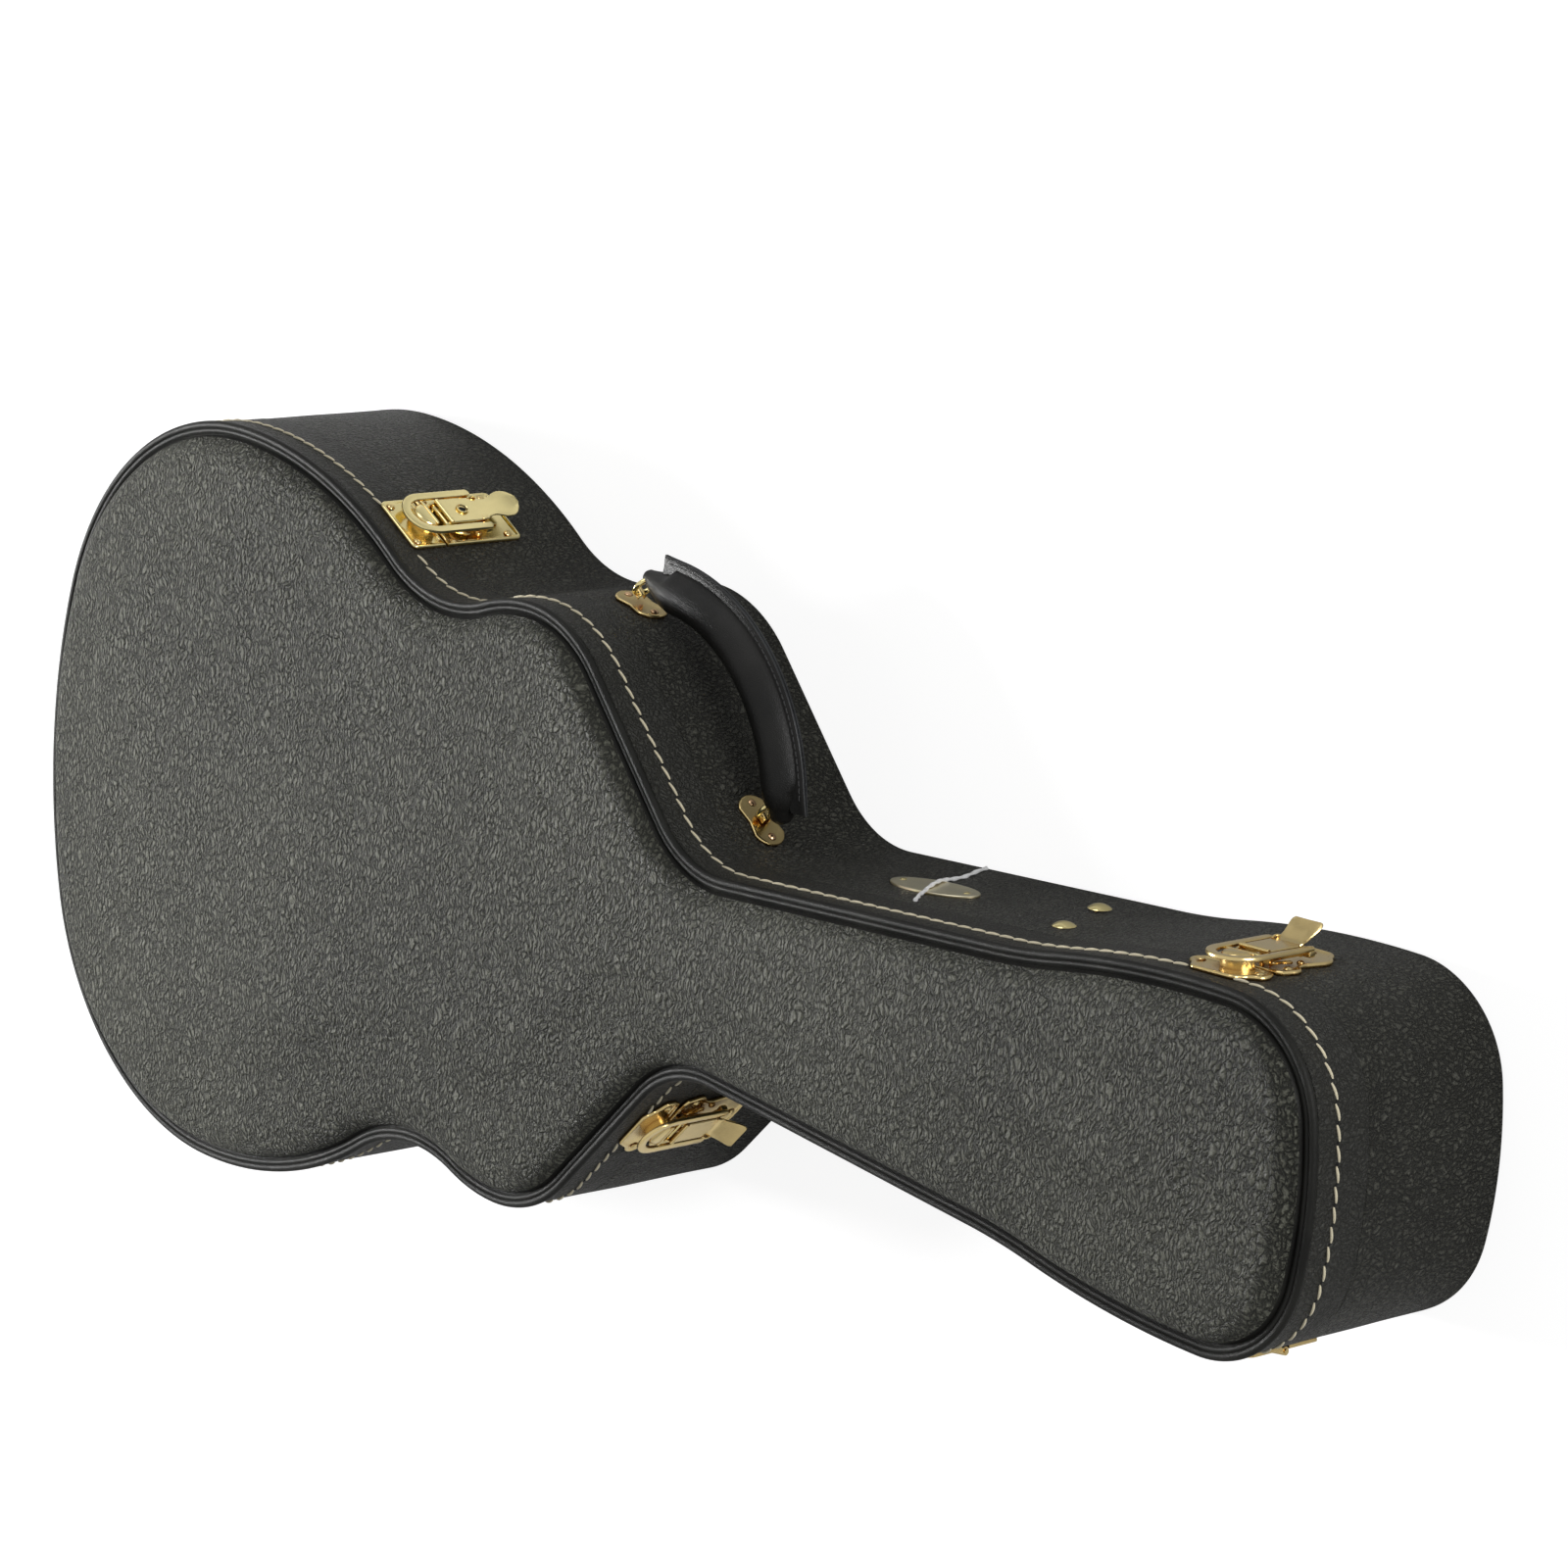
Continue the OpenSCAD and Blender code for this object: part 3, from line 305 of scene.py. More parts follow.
def round_box(x0, x1, y0, y1, z0, z1, r, n=4):
    """Block with all edges rounded by r, as rings along z."""
    rings = []
    cx, cy = (x0 + x1) / 2, (y0 + y1) / 2

    def rect(inset, z):
        hx, hy, rr = (x1 - x0) / 2 - inset, (y1 - y0) / 2 - inset, max(r - inset, 0.02)
        pts = []
        for q, (sx, sy) in enumerate([(1, 1), (-1, 1), (-1, -1), (1, -1)]):
            for i in range(n + 1):
                a = unit(90 * q + 90 * i / n)
                pts.append((cx + sx * (hx - rr) + rr * a[0], cy + sy * (hy - rr) + rr * a[1], z))
        return np.array(pts)

    for i in range(n + 1):
        a = rad(90 * i / n)
        rings.append(rect(r * (1 - sin(a)), z0 + r * (1 - cos(a))))
    for i in range(n + 1):
        a = rad(90 * i / n)
        rings.append(rect(r * (1 - cos(a)), z1 - r * (1 - sin(a))))
    return solid(rings)


def tube(path, radius, sides=8, taper=None, lobes=0, twist=0.0):
    """Round or twisted two-ply cord along a 3-D path."""
    path = np.asarray(path, float)
    n = len(path)
    rings, up = [], None
    for k in range(n):
        t = path[min(k + 1, n - 1)] - path[max(k - 1, 0)]
        t = t / np.linalg.norm(t)
        if up is None:
            up = np.array([0, 0, 1.0]) if abs(t[2]) < 0.9 else np.array([1.0, 0, 0])
        up = up - t * (up @ t)
        up /= np.linalg.norm(up)
        side = np.cross(t, up)
        r = radius * (taper(k / (n - 1)) if taper else 1.0)
        row = []
        for i in range(sides):
            a = 2 * pi * i / sides
            rr = r * (1 + 0.28 * cos(lobes * (a - twist * k))) if lobes else r
            row.append(path[k] + rr * (cos(a) * up + sin(a) * side))
        rings.append(row)
    return solid(rings)


def turned(profile, x, z, sides):
    """Round solid about local y from (radius, y) pairs."""
    return solid([[(x + r * cos(a), y, z + r * sin(a)) for a in around(sides)]
                  for r, y in profile])


def dome(x, z, y, r, h, skirt=0.6):
    """Domed head on local y, standing on y."""
    prof = [(r * 0.98, y - skirt), (r, y), (r, y + h * 0.12)]
    prof += [(r * cos(rad(a)), y + h * (0.12 + 0.88 * sin(rad(a)))) for a in range(12, 90, 12)]
    return turned(prof, x, z, 28)


# ---------------------------------------------------------------- wall frames, mm
def arc_spot(c, r, a, side):
    """Seat on a round stretch: station, half width, normal angle and side."""
    p = c + (r - 1) * unit(a)
    return p[0], p[1], a, side


def on_wall(spot, lift=0.0, dz=0.0):
    """Frame on the wall: x along it, y outward, z up, origin on the parting line."""
    s, h, a, side = spot
    ang = rad((180 + a if side < 0 else 180 - a) - 90)
    return (Matrix.Translation((STATION0 - s, side * h, BASE_H + dz)) @ Matrix.Rotation(ang, 4, "Z")
            @ Matrix.Translation((0, lift - 1, 0)))


BOUT = arc_spot(lower_c, LOWER_R, 60, -1)
HEAD = arc_spot(side_c, SIDE_R, 92.8, -1)
BUTT = arc_spot(vec2(butt_r, 0), butt_r, 180, -1)
SHOULDER_LATCH_S = 538.0
SHOULDER = (SHOULDER_LATCH_S - shoulder_n[0],
            (shoulder_off - shoulder_n[0] * SHOULDER_LATCH_S) / shoulder_n[1] - shoulder_n[1],
            shoulder_normal, 1)
span = corner_c - lower_c
hinge_tilt = degrees(asin((LOWER_R - CORNER_R) / np.linalg.norm(span))) - turn(span)
hinge_normal = 90 - hinge_tilt
BOUT_HINGE = arc_spot(lower_c, LOWER_R, hinge_normal, 1)
HEAD_HINGE = arc_spot(corner_c, CORNER_R, hinge_normal, 1)
BOUT_MOUNT_TURN, NECK_MOUNT_TURN = 77, 50.8
BOUT_MOUNT = arc_spot(upper_c, UPPER_R, BOUT_MOUNT_TURN, -1)
neck_mount_n = unit(NECK_MOUNT_TURN)
neck_mount_p = fillet_c - (FILLET_R + 1) * neck_mount_n
NECK_MOUNT = (neck_mount_p[0], neck_mount_p[1], NECK_MOUNT_TURN, -1)
HANDLE_DROP = 26.0
BOUT_SINK = 1.7
STANDOFF = 10.5
bout_ring = vec2(BOUT_MOUNT[0], BOUT_MOUNT[1]) + STANDOFF * unit(BOUT_MOUNT_TURN)
neck_ring = neck_mount_p + STANDOFF * neck_mount_n
RING_SPAN = np.linalg.norm(neck_ring - bout_ring) / 2
handle_mid = (bout_ring + neck_ring) / 2
chord = atan2(bout_ring[1] - neck_ring[1], neck_ring[0] - bout_ring[0])
AT_HANDLE = (Matrix.Translation((STATION0 - handle_mid[0], -handle_mid[1], BASE_H - HANDLE_DROP))
             @ Matrix.Rotation(pi - chord, 4, "Z"))


def neck_spot(s):
    return (s - neck_n[0], (neck_off - neck_n[0] * s) / neck_n[1] - neck_n[1], neck_normal, -1)


# seats pressed into the covering: (frame, half width, z low, z high)
SEAT_IN = 9
STRAIGHT_HALF, OGEE_HALF, LEAF_HALF = 20, 24, 13
OGEE_SPOTS, HINGE_SPOTS = (HEAD, SHOULDER, BUTT), (BOUT_HINGE, HEAD_HINGE)
BASE_SEATS = [(on_wall(BOUT), STRAIGHT_HALF, -55, SEAT_IN)]
BASE_SEATS += [(on_wall(s), OGEE_HALF, -50, SEAT_IN) for s in OGEE_SPOTS]
BASE_SEATS += [(on_wall(s), LEAF_HALF, -25, SEAT_IN) for s in HINGE_SPOTS]
BASE_SEATS += [
    (on_wall(BOUT_MOUNT, 1 - BOUT_SINK, -HANDLE_DROP), 17, -10.5, 10.5),
    (on_wall(NECK_MOUNT, 1, -HANDLE_DROP), 17, -10.5, 10.5)]
LID_SEATS = [(on_wall(BOUT), STRAIGHT_HALF, -SEAT_IN, 23.5)]
LID_SEATS += [(on_wall(s), OGEE_HALF, -SEAT_IN, 23) for s in OGEE_SPOTS]
LID_SEATS += [(on_wall(s), LEAF_HALF, -SEAT_IN, 25) for s in HINGE_SPOTS]


def press(pts, seats, outer):
    """Pushes outer-wall points back to the seat planes, with a soft edge."""
    for m, half, z0, z1 in seats:
        inv = np.array(m.inverted())
        loc = pts @ inv[:3, :3].T + inv[:3, 3]
        dx = np.maximum(np.abs(loc[:, 0]) - half - 0.5, 0)
        dz = np.maximum(np.maximum(z0 - 0.5 - loc[:, 2], loc[:, 2] - z1 - 0.5), 0)
        w = np.clip(1 - np.hypot(dx, dz) / 4, 0, 1)
        w = smoothstep(w) * (outer & (np.abs(loc[:, 1]) < 6))
        loc[:, 1] -= w * np.maximum(loc[:, 1] + 0.05, 0)
        fwd = np.array(m)
        pts[:] = loc @ fwd[:3, :3].T + fwd[:3, 3]
    return pts


def ripple(x, y, z, size, amount, seed=0.0):
    return amount * noise.noise(Vector((x / size + seed, y / size, z / size)))


# ---------------------------------------------------------------- materials
class Mat:
    def __init__(self, name):
        self.m = bpy.data.materials.new(name)
        self.m.use_nodes = True
        self.t = self.m.node_tree
        self.t.nodes.clear()
        self.out = self.t.nodes.new("ShaderNodeOutputMaterial")
        self.b = self.node("ShaderNodeBsdfPrincipled")
        self.t.links.new(self.b.outputs[0], self.out.inputs[0])
        self.coord = self.node("ShaderNodeTexCoord").outputs["Object"]

    def node(self, kind, **props):
        n = self.t.nodes.new(kind)
        for k, v in props.items():
            setattr(n, k, v)
        return n

    def put(self, n, **vals):
        for k, v in vals.items():
            key = k.replace("_", " ") if not k.isdigit() else int(k)
            sock = n.inputs[key]
            if isinstance(v, bpy.types.NodeSocket):
                self.t.links.new(v, sock)
            else:
                sock.default_value = v
        return n

    def math(self, op, a, b=0.0, c=0.0):
        n = self.node("ShaderNodeMath", operation=op)
        for i, v in enumerate((a, b, c)):
            if isinstance(v, bpy.types.NodeSocket):
                self.t.links.new(v, n.inputs[i])
            else:
                n.inputs[i].default_value = v
        return n.outputs[0]

    def scaled(self, sx, sy, sz, src=None):
        n = self.node("ShaderNodeMapping")
        self.t.links.new(src or self.coord, n.inputs[0])
        n.inputs["Scale"].default_value = (sx, sy, sz)
        return n.outputs[0]

    def noise(self, scale, detail=2.0, rough=0.5, src=None, color=False):
        n = self.node("ShaderNodeTexNoise")
        self.put(n, Vector=src or self.coord, Scale=scale, Detail=detail, Roughness=rough)
        return n.outputs[1 if color else 0]

    def voronoi(self, scale, feature="DISTANCE_TO_EDGE", src=None):
        n = self.node("ShaderNodeTexVoronoi", feature=feature)
        self.put(n, Vector=src or self.coord, Scale=scale)
        return n.outputs[0]

    def ramp(self, fac, lo, hi, a=0.0, b=1.0, smooth=True):
        n = self.node("ShaderNodeMapRange",
                      interpolation_type="SMOOTHSTEP" if smooth else "LINEAR")
        self.t.links.new(fac, n.inputs[0])
        for i, v in enumerate((lo, hi, a, b)):
            n.inputs[i + 1].default_value = v
        return n.outputs[0]

    def mix(self, fac, c1, c2):
        n = self.node("ShaderNodeMix", data_type="RGBA")
        if isinstance(fac, bpy.types.NodeSocket):
            self.t.links.new(fac, n.inputs[0])
        else:
            n.inputs[0].default_value = fac
        for i, c in ((6, c1), (7, c2)):
            if isinstance(c, bpy.types.NodeSocket):
                self.t.links.new(c, n.inputs[i])
            else:
                n.inputs[i].default_value = (*c, 1.0)
        return n.outputs[2]

    def warp(self, scale, amount, src=None):
        """Coordinates pushed about by noise."""
        src = src or self.coord
        col = self.noise(scale, 2.0, src=src, color=True)
        off = self.node("ShaderNodeVectorMath", operation="SUBTRACT")
        self.t.links.new(col, off.inputs[0])
        off.inputs[1].default_value = (0.5, 0.5, 0.5)
        mul = self.node("ShaderNodeVectorMath", operation="SCALE")
        self.t.links.new(off.outputs[0], mul.inputs[0])
        mul.inputs["Scale"].default_value = amount
        add = self.node("ShaderNodeVectorMath", operation="ADD")
        self.t.links.new(src, add.inputs[0])
        self.t.links.new(mul.outputs[0], add.inputs[1])
        return add.outputs[0]

    def bump(self, height, strength, distance):
        n = self.node("ShaderNodeBump")
        self.put(n, Strength=strength, Distance=distance, Height=height)
        self.t.links.new(n.outputs[0], self.b.inputs["Normal"])

    def set(self, **vals):
        self.put(self.b, **vals)
        return self.m


def tolex(name, dark, light, grain, rough, cell=300.0, spec=0.35, stretch=(1.3, 0.62, 1.0)):
    """Crackled leathercloth: rounded pebbles parted by wandering creases, with painted shade darkening
    the colour in the creases and a random broad tone.
    """
    m = Mat(name)
    src = m.warp(60.0, 0.012, m.warp(420.0, 0.0026))
    long_ = m.scaled(*stretch, src)
    cells = m.ramp(m.voronoi(cell, src=long_), 0.0, 0.34)
    small = m.ramp(m.voronoi(cell * 1.7, src=long_), 0.0, 0.4)
    swell = m.noise(cell * 0.8, 2.0, 0.5, src=long_)
    fine = m.noise(2400.0, 2.0, 0.6)
    height = m.math("ADD", m.math("MULTIPLY", cells, 0.6), m.math("MULTIPLY", small, 0.3))
    height = m.math("MULTIPLY_ADD", swell, 0.6, height)
    height = m.math("MULTIPLY_ADD", fine, 0.08, height)
    broad = m.ramp(m.noise(5.0, 3.0), 0.3, 0.7)
    # painted shade: the colour is darkened toward the creases between pebbles; the broad noise adds
    # random tone
    crease_shade = m.math("MULTIPLY_ADD", small, 0.32, m.math("MULTIPLY", m.ramp(cells, 0.0, 0.7), 0.62))
    tone = m.math("MULTIPLY_ADD", broad, 0.16, crease_shade)
    m.bump(height, grain, 0.0042)
    r = m.math("MULTIPLY_ADD", small, -0.08, rough + 0.08)
    return m.set(Base_Color=m.mix(tone, dark, light), Roughness=r, Specular_IOR_Level=spec)


def hide(name, dark, light, rough, scale, strength, dist, spec=0.3):
    """Smooth leather with a fine pore grain and slow tone changes."""
    m = Mat(name)
    pores = m.ramp(m.voronoi(scale, src=m.warp(scale * 0.3, 0.4 / scale)), 0.0, 0.25)
    fine = m.noise(scale * 3, 2.0)
    m.bump(m.math("MULTIPLY_ADD", fine, 0.4, pores), strength, dist)
    tone = m.ramp(m.noise(28.0, 3.0), 0.35, 0.7)
    r = m.math("MULTIPLY_ADD", m.noise(60.0, 2.0), 0.14, rough - 0.07)
    return m.set(Base_Color=m.mix(tone, dark, light), Roughness=r, Specular_IOR_Level=spec)


def metal(name, base, recess_shade, rough, scratch=0.12):
    """Plated metal: dark amber painted shade in the recesses, found by ambient occlusion, with faint
    scratches and handling marks.
    """
    m = Mat(name)
    # painted shade: where ambient occlusion finds a recess, the colour turns to the dark amber given as
    # the second colour
    ao = m.node("ShaderNodeAmbientOcclusion", samples=6)
    ao.inputs["Distance"].default_value = 0.006
    unoccluded = m.ramp(ao.outputs["AO"], 0.25, 0.85)
    smudge = m.noise(120.0, 3.0, 0.6)
    streak = m.noise(900.0, 2.0, src=m.scaled(1.0, 1.0, 0.06))
    r = m.math("MULTIPLY_ADD", smudge, 0.16, rough - 0.06)
    m.bump(m.math("MULTIPLY_ADD", streak, 0.35, smudge), scratch, 0.0002)
    tint = m.mix(m.ramp(smudge, 0.3, 0.75), tuple(c * 0.93 for c in base), base)
    return m.set(Base_Color=m.mix(unoccluded, recess_shade, tint), Metallic=1.0, Roughness=r)


def velvet(name, dark, light, pile=2600.0):
    """Plush: soft pile with brushed lighter and darker patches."""
    m = Mat(name)
    brushed = m.ramp(m.noise(26.0, 4.0, 0.6), 0.32, 0.68)
    fibre = m.noise(pile, 3.0, 0.7)
    tone = m.math("MULTIPLY_ADD", fibre, 0.5, m.math("MULTIPLY", brushed, 0.6))
    m.bump(m.math("MULTIPLY_ADD", brushed, 0.3, fibre), 0.55, 0.0012)
    m.set(Base_Color=m.mix(tone, dark, light), Roughness=0.95, Specular_IOR_Level=0.15,
          Sheen_Weight=0.7, Sheen_Roughness=0.4)
    m.b.inputs["Sheen Tint"].default_value = (*[min(1, c * 3) for c in light], 1)
    return m.m


def yarn(name, dark, light, twist=900.0):
    """Spun thread: fine plies, with painted shade darkening the colour in the furrows between them."""
    m = Mat(name)
    w = m.node("ShaderNodeTexWave", wave_type="BANDS", bands_direction="DIAGONAL")
    m.put(w, Vector=m.coord, Scale=twist, Distortion=2.0)
    fib = m.noise(4000.0, 2.0)
    # painted shade: the wave bands darken the colour in the furrows between plies; the fibre noise is
    # random tone
    tone = m.math("MULTIPLY_ADD", fib, 0.4, m.math("MULTIPLY", w.outputs["Fac"], 0.6))
    m.bump(tone, 0.5, 0.0003)
    return m.set(Base_Color=m.mix(tone, dark, light), Roughness=0.8, Sheen_Weight=0.2)


# the face, wall and lid-wall leathercloth are one material: the face's lighter colour is painted light,
# the base walls' darker colour is painted shade, and the lid wall's still darker colour is more painted
# shade
LIT_FACE_TOLEX = tolex("leathercloth_face_painted_light", (0.012, 0.0125, 0.010), (0.142, 0.144, 0.115), 1.0, 0.5, 265.0, 0.3)
SHADED_WALL_TOLEX = tolex("leathercloth_wall_painted_shade", (0.010, 0.010, 0.008), (0.082, 0.082, 0.067), 1.0, 0.45, 300.0,
             0.35, (1.2, 1.2, 0.7))
DARKER_SHADED_TOLEX = tolex("leathercloth_lid_wall_painted_shade", (0.013, 0.013, 0.011), (0.038, 0.038, 0.032), 0.6, 0.45, 340.0, 0.3,
             (1.2, 1.2, 0.7))
CORD = hide("piping_vinyl", (0.008, 0.008, 0.007), (0.015, 0.015, 0.013), 0.46, 900.0, 0.3, 0.0003, 0.16)
GRIP = hide("handle_leather", (0.006, 0.006, 0.0055), (0.012, 0.0115, 0.0105), 0.4, 1100.0, 0.3, 0.00025,
            0.28)
EDGE = hide("ridge_edge", (0.012, 0.013, 0.014), (0.03, 0.032, 0.034), 0.36, 1300.0, 0.3, 0.0002, 0.4)
GOLD = metal("bright_gold", (1.0, 0.86, 0.42), (0.62, 0.32, 0.06), 0.15)
ANTIQUE = metal("antique_gold", (0.86, 0.67, 0.31), (0.40, 0.2, 0.045), 0.2)
PALE = metal("pale_brass", (0.86, 0.80, 0.58), (0.5, 0.38, 0.16), 0.34, 0.2)
COPPER = metal("copper_rivet", (0.72, 0.47, 0.27), (0.3, 0.13, 0.05), 0.26)
THREAD = yarn("cream_thread", (0.52, 0.45, 0.28), (0.86, 0.80, 0.62))
DARK_THREAD = yarn("dark_thread", (0.02, 0.02, 0.02), (0.07, 0.07, 0.07))
STRING = yarn("white_cotton", (0.6, 0.6, 0.6), (0.9, 0.9, 0.9), 1400.0)
PLUSH = velvet("burgundy_plush", (0.085, 0.006, 0.012), (0.24, 0.022, 0.036))
VELOUR = velvet("burgundy_velour", (0.07, 0.006, 0.013), (0.22, 0.022, 0.04), 3600.0)
RIBBON = yarn("woven_ribbon", (0.02, 0.018, 0.018), (0.06, 0.055, 0.055), 1500.0)
# near-black painted shade: pieces in this material stand where the shade inside a hole would be, at the
# needle holes and the keyway
HOLE_SHADE = hide("hole_painted_shade", (0.002, 0.002, 0.002), (0.006, 0.006, 0.006), 0.8, 1500.0, 0.1, 0.0001)

# ---------------------------------------------------------------- shell
def wall_part(rows_z, top, bottom, inner, seats, seed):
    """Closed wall: outer rows, rounded top and bottom lips, flat inner face."""
    prof = [(inner, bottom[-1][1])] + bottom[::-1] + [(1.0, z) for z in rows_z] + top
    prof.append((inner, top[-1][1]))
    part = Part().loft([ring(d, z) for d, z in prof], wrap=True)
    pts = part.points()
    depth = np.repeat([d for d, _ in prof], len(LOOP))
    outer = depth < 2.0
    nrm = np.tile(LOOP_N, (len(prof), 1))
    push = np.array([ripple(p[0], p[1], p[2], 45.0, 0.35, seed) if o else 0.0
                     for p, o in zip(pts, outer)])
    pts[:, :2] += nrm * push[:, None]
    press(pts, seats, outer)
    part.v = [pts]
    return part


lip = [(1.03, 0.12), (1.15, 0.02), (2.4, 0.0)]
# inner face of the shown walls; the lid starts a hair above the base
WALL_IN, BACK_TOP, LID_FOOT = 6.0, 4.05, 99.12
base_rows = list(np.arange(5.2, 98.0, 2.9)) + [98.6]
base_wall = wall_part(base_rows, [(d, BASE_H - z) for d, z in lip],
                      [(d, BACK_TOP + z) for d, z in lip], WALL_IN, BASE_SEATS, 3.7)
make("base_wall_covering", base_wall, SHADED_WALL_TOLEX, "base", ["base_rim"])
lid_rows = [99.35] + list(np.arange(100.3, 134.0, 2.6)) + [133.8]
lid_wall = wall_part(lid_rows, [(d, LID_TOP - z) for d, z in lip],
                     [(d, LID_FOOT + z) for d, z in lip], WALL_IN, LID_SEATS, 8.1)
# the lid wall takes the darkest copy of the same leathercloth, a painted shade
make("lid_wall_covering", lid_wall, DARKER_SHADED_TOLEX, "lid", ["lid_rim"])

# back panel: rolled bottom edge, nearly flat underside
back_prof = [(24, 4.0), (2.0, 4.0), (1.2, 3.7), (1.0, 2.9), (1.2, 1.9), (1.9, 0.9), (3.0, 0.3),
             (4.6, 0.0), (24, 0.0)]
back_rings = [ring(d, z) for d, z in back_prof]
back = filled(back_rings, 6, flat(4.0), 6, flat(0.0))
make("back_panel_covering", back, SHADED_WALL_TOLEX, "base", ["back_panel"], weld=True)


# arched face: inner bead, steep shoulder, gentle crown with a soft guitar-shaped step
FACE_EDGE = 40.0


def crown(d):
    """Height of the arched face at inset d from the wall line."""
    t = np.maximum(d - 8.1, 0)
    step = np.clip((d - 58) / 26, 0, 1)
    return (137.0 + 12.5 * (1 - np.exp(-t / 5.5)) + 4.6 * np.sin(np.minimum(t / 95, 1) * pi / 2)
            + 1.9 * smoothstep(step))


bead = [(6.0, 134.6), (3.3, 134.6), (3.35, 136.4), (3.9, 137.9), (4.8, 138.7), (5.8, 138.8),
        (6.8, 138.2), (7.5, 137.3), (8.1, 137.0)]
shoulder_d = [8.6, 9.2, 10, 11, 12.2, 13.6, 15.2, 17, 19, 21.5, 24, 27, 30, 33.5, 37, FACE_EDGE]
face_rings = [ring(d, z) for d, z in bead] + [ring(d, crown(d)) for d in shoulder_d]
FACE_BASE = 134.6
face = filled([ring(16, FACE_BASE)] + face_rings, 5, flat(FACE_BASE),
              26, lambda u, reach: crown(FACE_EDGE + reach))
pts = face.points()
FACE_FOOT, BEAD_TOP = 139.5, 138.95
top_mask = pts[:, 2] > FACE_FOOT
# broad swells and hollows: centre x, y, size x, y, height
dents = [(-100, 90, 60, 28, 1.5), (75, -60, 60, 40, 1.2), (40, 95, 45, 30, -1.1),
         (-250, 60, 55, 28, 1.3), (-180, -70, 50, 40, -0.9), (-380, 0, 60, 60, 0.8)]
for i in np.nonzero(top_mask)[0]:
    x, y, z = pts[i]
    lift = ripple(x, y, 0, 70.0, 0.9, 1.3) + ripple(x, y, 0, 24.0, 0.22, 5.0)
    for cx, cy, sx, sy, h in dents:
        lift += h * exp(-((x - cx) / sx)**2 - ((y - cy) / sy)**2)
    pts[i, 2] += lift * min(1.0, (z - FACE_FOOT) / 8)
face.v = [pts]
face_ob = make("lid_face_covering", face, LIT_FACE_TOLEX, "lid", ["lid_panel"], weld=True)
face_ob.data.materials.append(CORD)
for poly in face_ob.data.polygons:
    if poly.center[2] < BEAD_TOP * MM:
        poly.material_index = 1

# piping cord round the edge of the lid
cord = [(2.2 - 2.3 * cos(rad(a)), 136.9 + 2.3 * sin(rad(a))) for a in range(0, 360, 20)]
make("lid_piping_cord", Part().loft([ring(d, z) for d, z in cord], wrap=True), CORD, "lid",
     ["lid_piping"])

# ---------------------------------------------------------------- stitching
STITCH_Z = 121.3
PITCH = 10.0


def along(d, pitch):
    """Even stations round the outline at inset d: their arc lengths, the spacing, and a lookup of point
    and normal at an arc length.
    """
    p = LOOP - d * LOOP_N
    q = np.vstack([p, p[:1]])
    seg = np.linalg.norm(np.diff(q, axis=0), axis=1)
    s = np.concatenate([[0], np.cumsum(seg)])
    n = round(s[-1] / pitch)
    nn = np.vstack([LOOP_N, LOOP_N[:1]])

    def at(u):
        u = u % s[-1]
        pt = np.array([np.interp(u, s, q[:, 0]), np.interp(u, s, q[:, 1])])
        no = np.array([np.interp(u, s, nn[:, 0]), np.interp(u, s, nn[:, 1])])
        return pt, no / np.linalg.norm(no)
    return [k * s[-1] / n for k in range(n)], s[-1] / n, at


starts, pitch, at = along(1.0, PITCH)
# the row stops under the plates: spot and half width
covered = [(s, LEAF_HALF + 0.5) for s in HINGE_SPOTS]
covered += [(BOUT, STRAIGHT_HALF)] + [(s, 15) for s in OGEE_SPOTS]


def is_covered(pt):
    for spot, half in covered:
        m = np.array(on_wall(spot).inverted())
        loc = m[:3, :3] @ np.array([pt[0], pt[1], STITCH_Z]) + m[:3, 3]
        if abs(loc[0]) < half and abs(loc[1]) < 12:
            return True
    return False


thread, needle_hole_shade = Part(), Part()
for k, u0 in enumerate(starts):
    wob = noise.noise(Vector((k * 0.7, 1.5, 0)))
    path = []
    for j in range(7):
        t = j / 6
        p, n = at(u0 + pitch * (0.09 + 0.82 * t))
        lift = 0.62 * sin(pi * min(max(t, 0.06), 0.94))**0.5 - 0.1
        q = p + n * lift
        path.append((q[0], q[1], STITCH_Z + (t - 0.5) * 1.7 + 0.3 * wob))
    mid, _ = at(u0 + pitch * 0.5)
    if is_covered(mid):
        continue
    thread.join(tube(path, 0.74, 8, taper=lambda t: 0.55 + 0.45 * sin(pi * t)**0.5))
    # painted shade for each needle hole: a low near-black disc on the wall where the hole's shade would
    # be
    p, n = at(u0)
    tan = np.array([-n[1], n[0]])
    disc = []
    for rr, yy in ((0.95, 0.0), (0.8, 0.12), (0.3, 0.16)):
        disc.append([(p[0] + tan[0] * rr * cos(a) + n[0] * yy, p[1] + tan[1] * rr * cos(a)
                      + n[1] * yy, STITCH_Z + rr * 0.75 * sin(a))
                     for a in around(10)])
    needle_hole_shade.join(solid(disc))
make("lid_stitching", thread, THREAD, "lid")
make("lid_needle_hole_shade", needle_hole_shade, HOLE_SHADE, "lid")

# ---------------------------------------------------------------- linings
TONGUE = [(6.5, 55), (6.5, 105.2), (6.7, 105.8), (7.1, 106), (7.7, 106), (8.1, 105.8), (8.35, 105.2),
          (8.35, 55)]
make("rim_tongue_velour", Part().loft([ring(d, z) for d, z in TONGUE], wrap=True), VELOUR, "base",
     ["rim_tongue"])


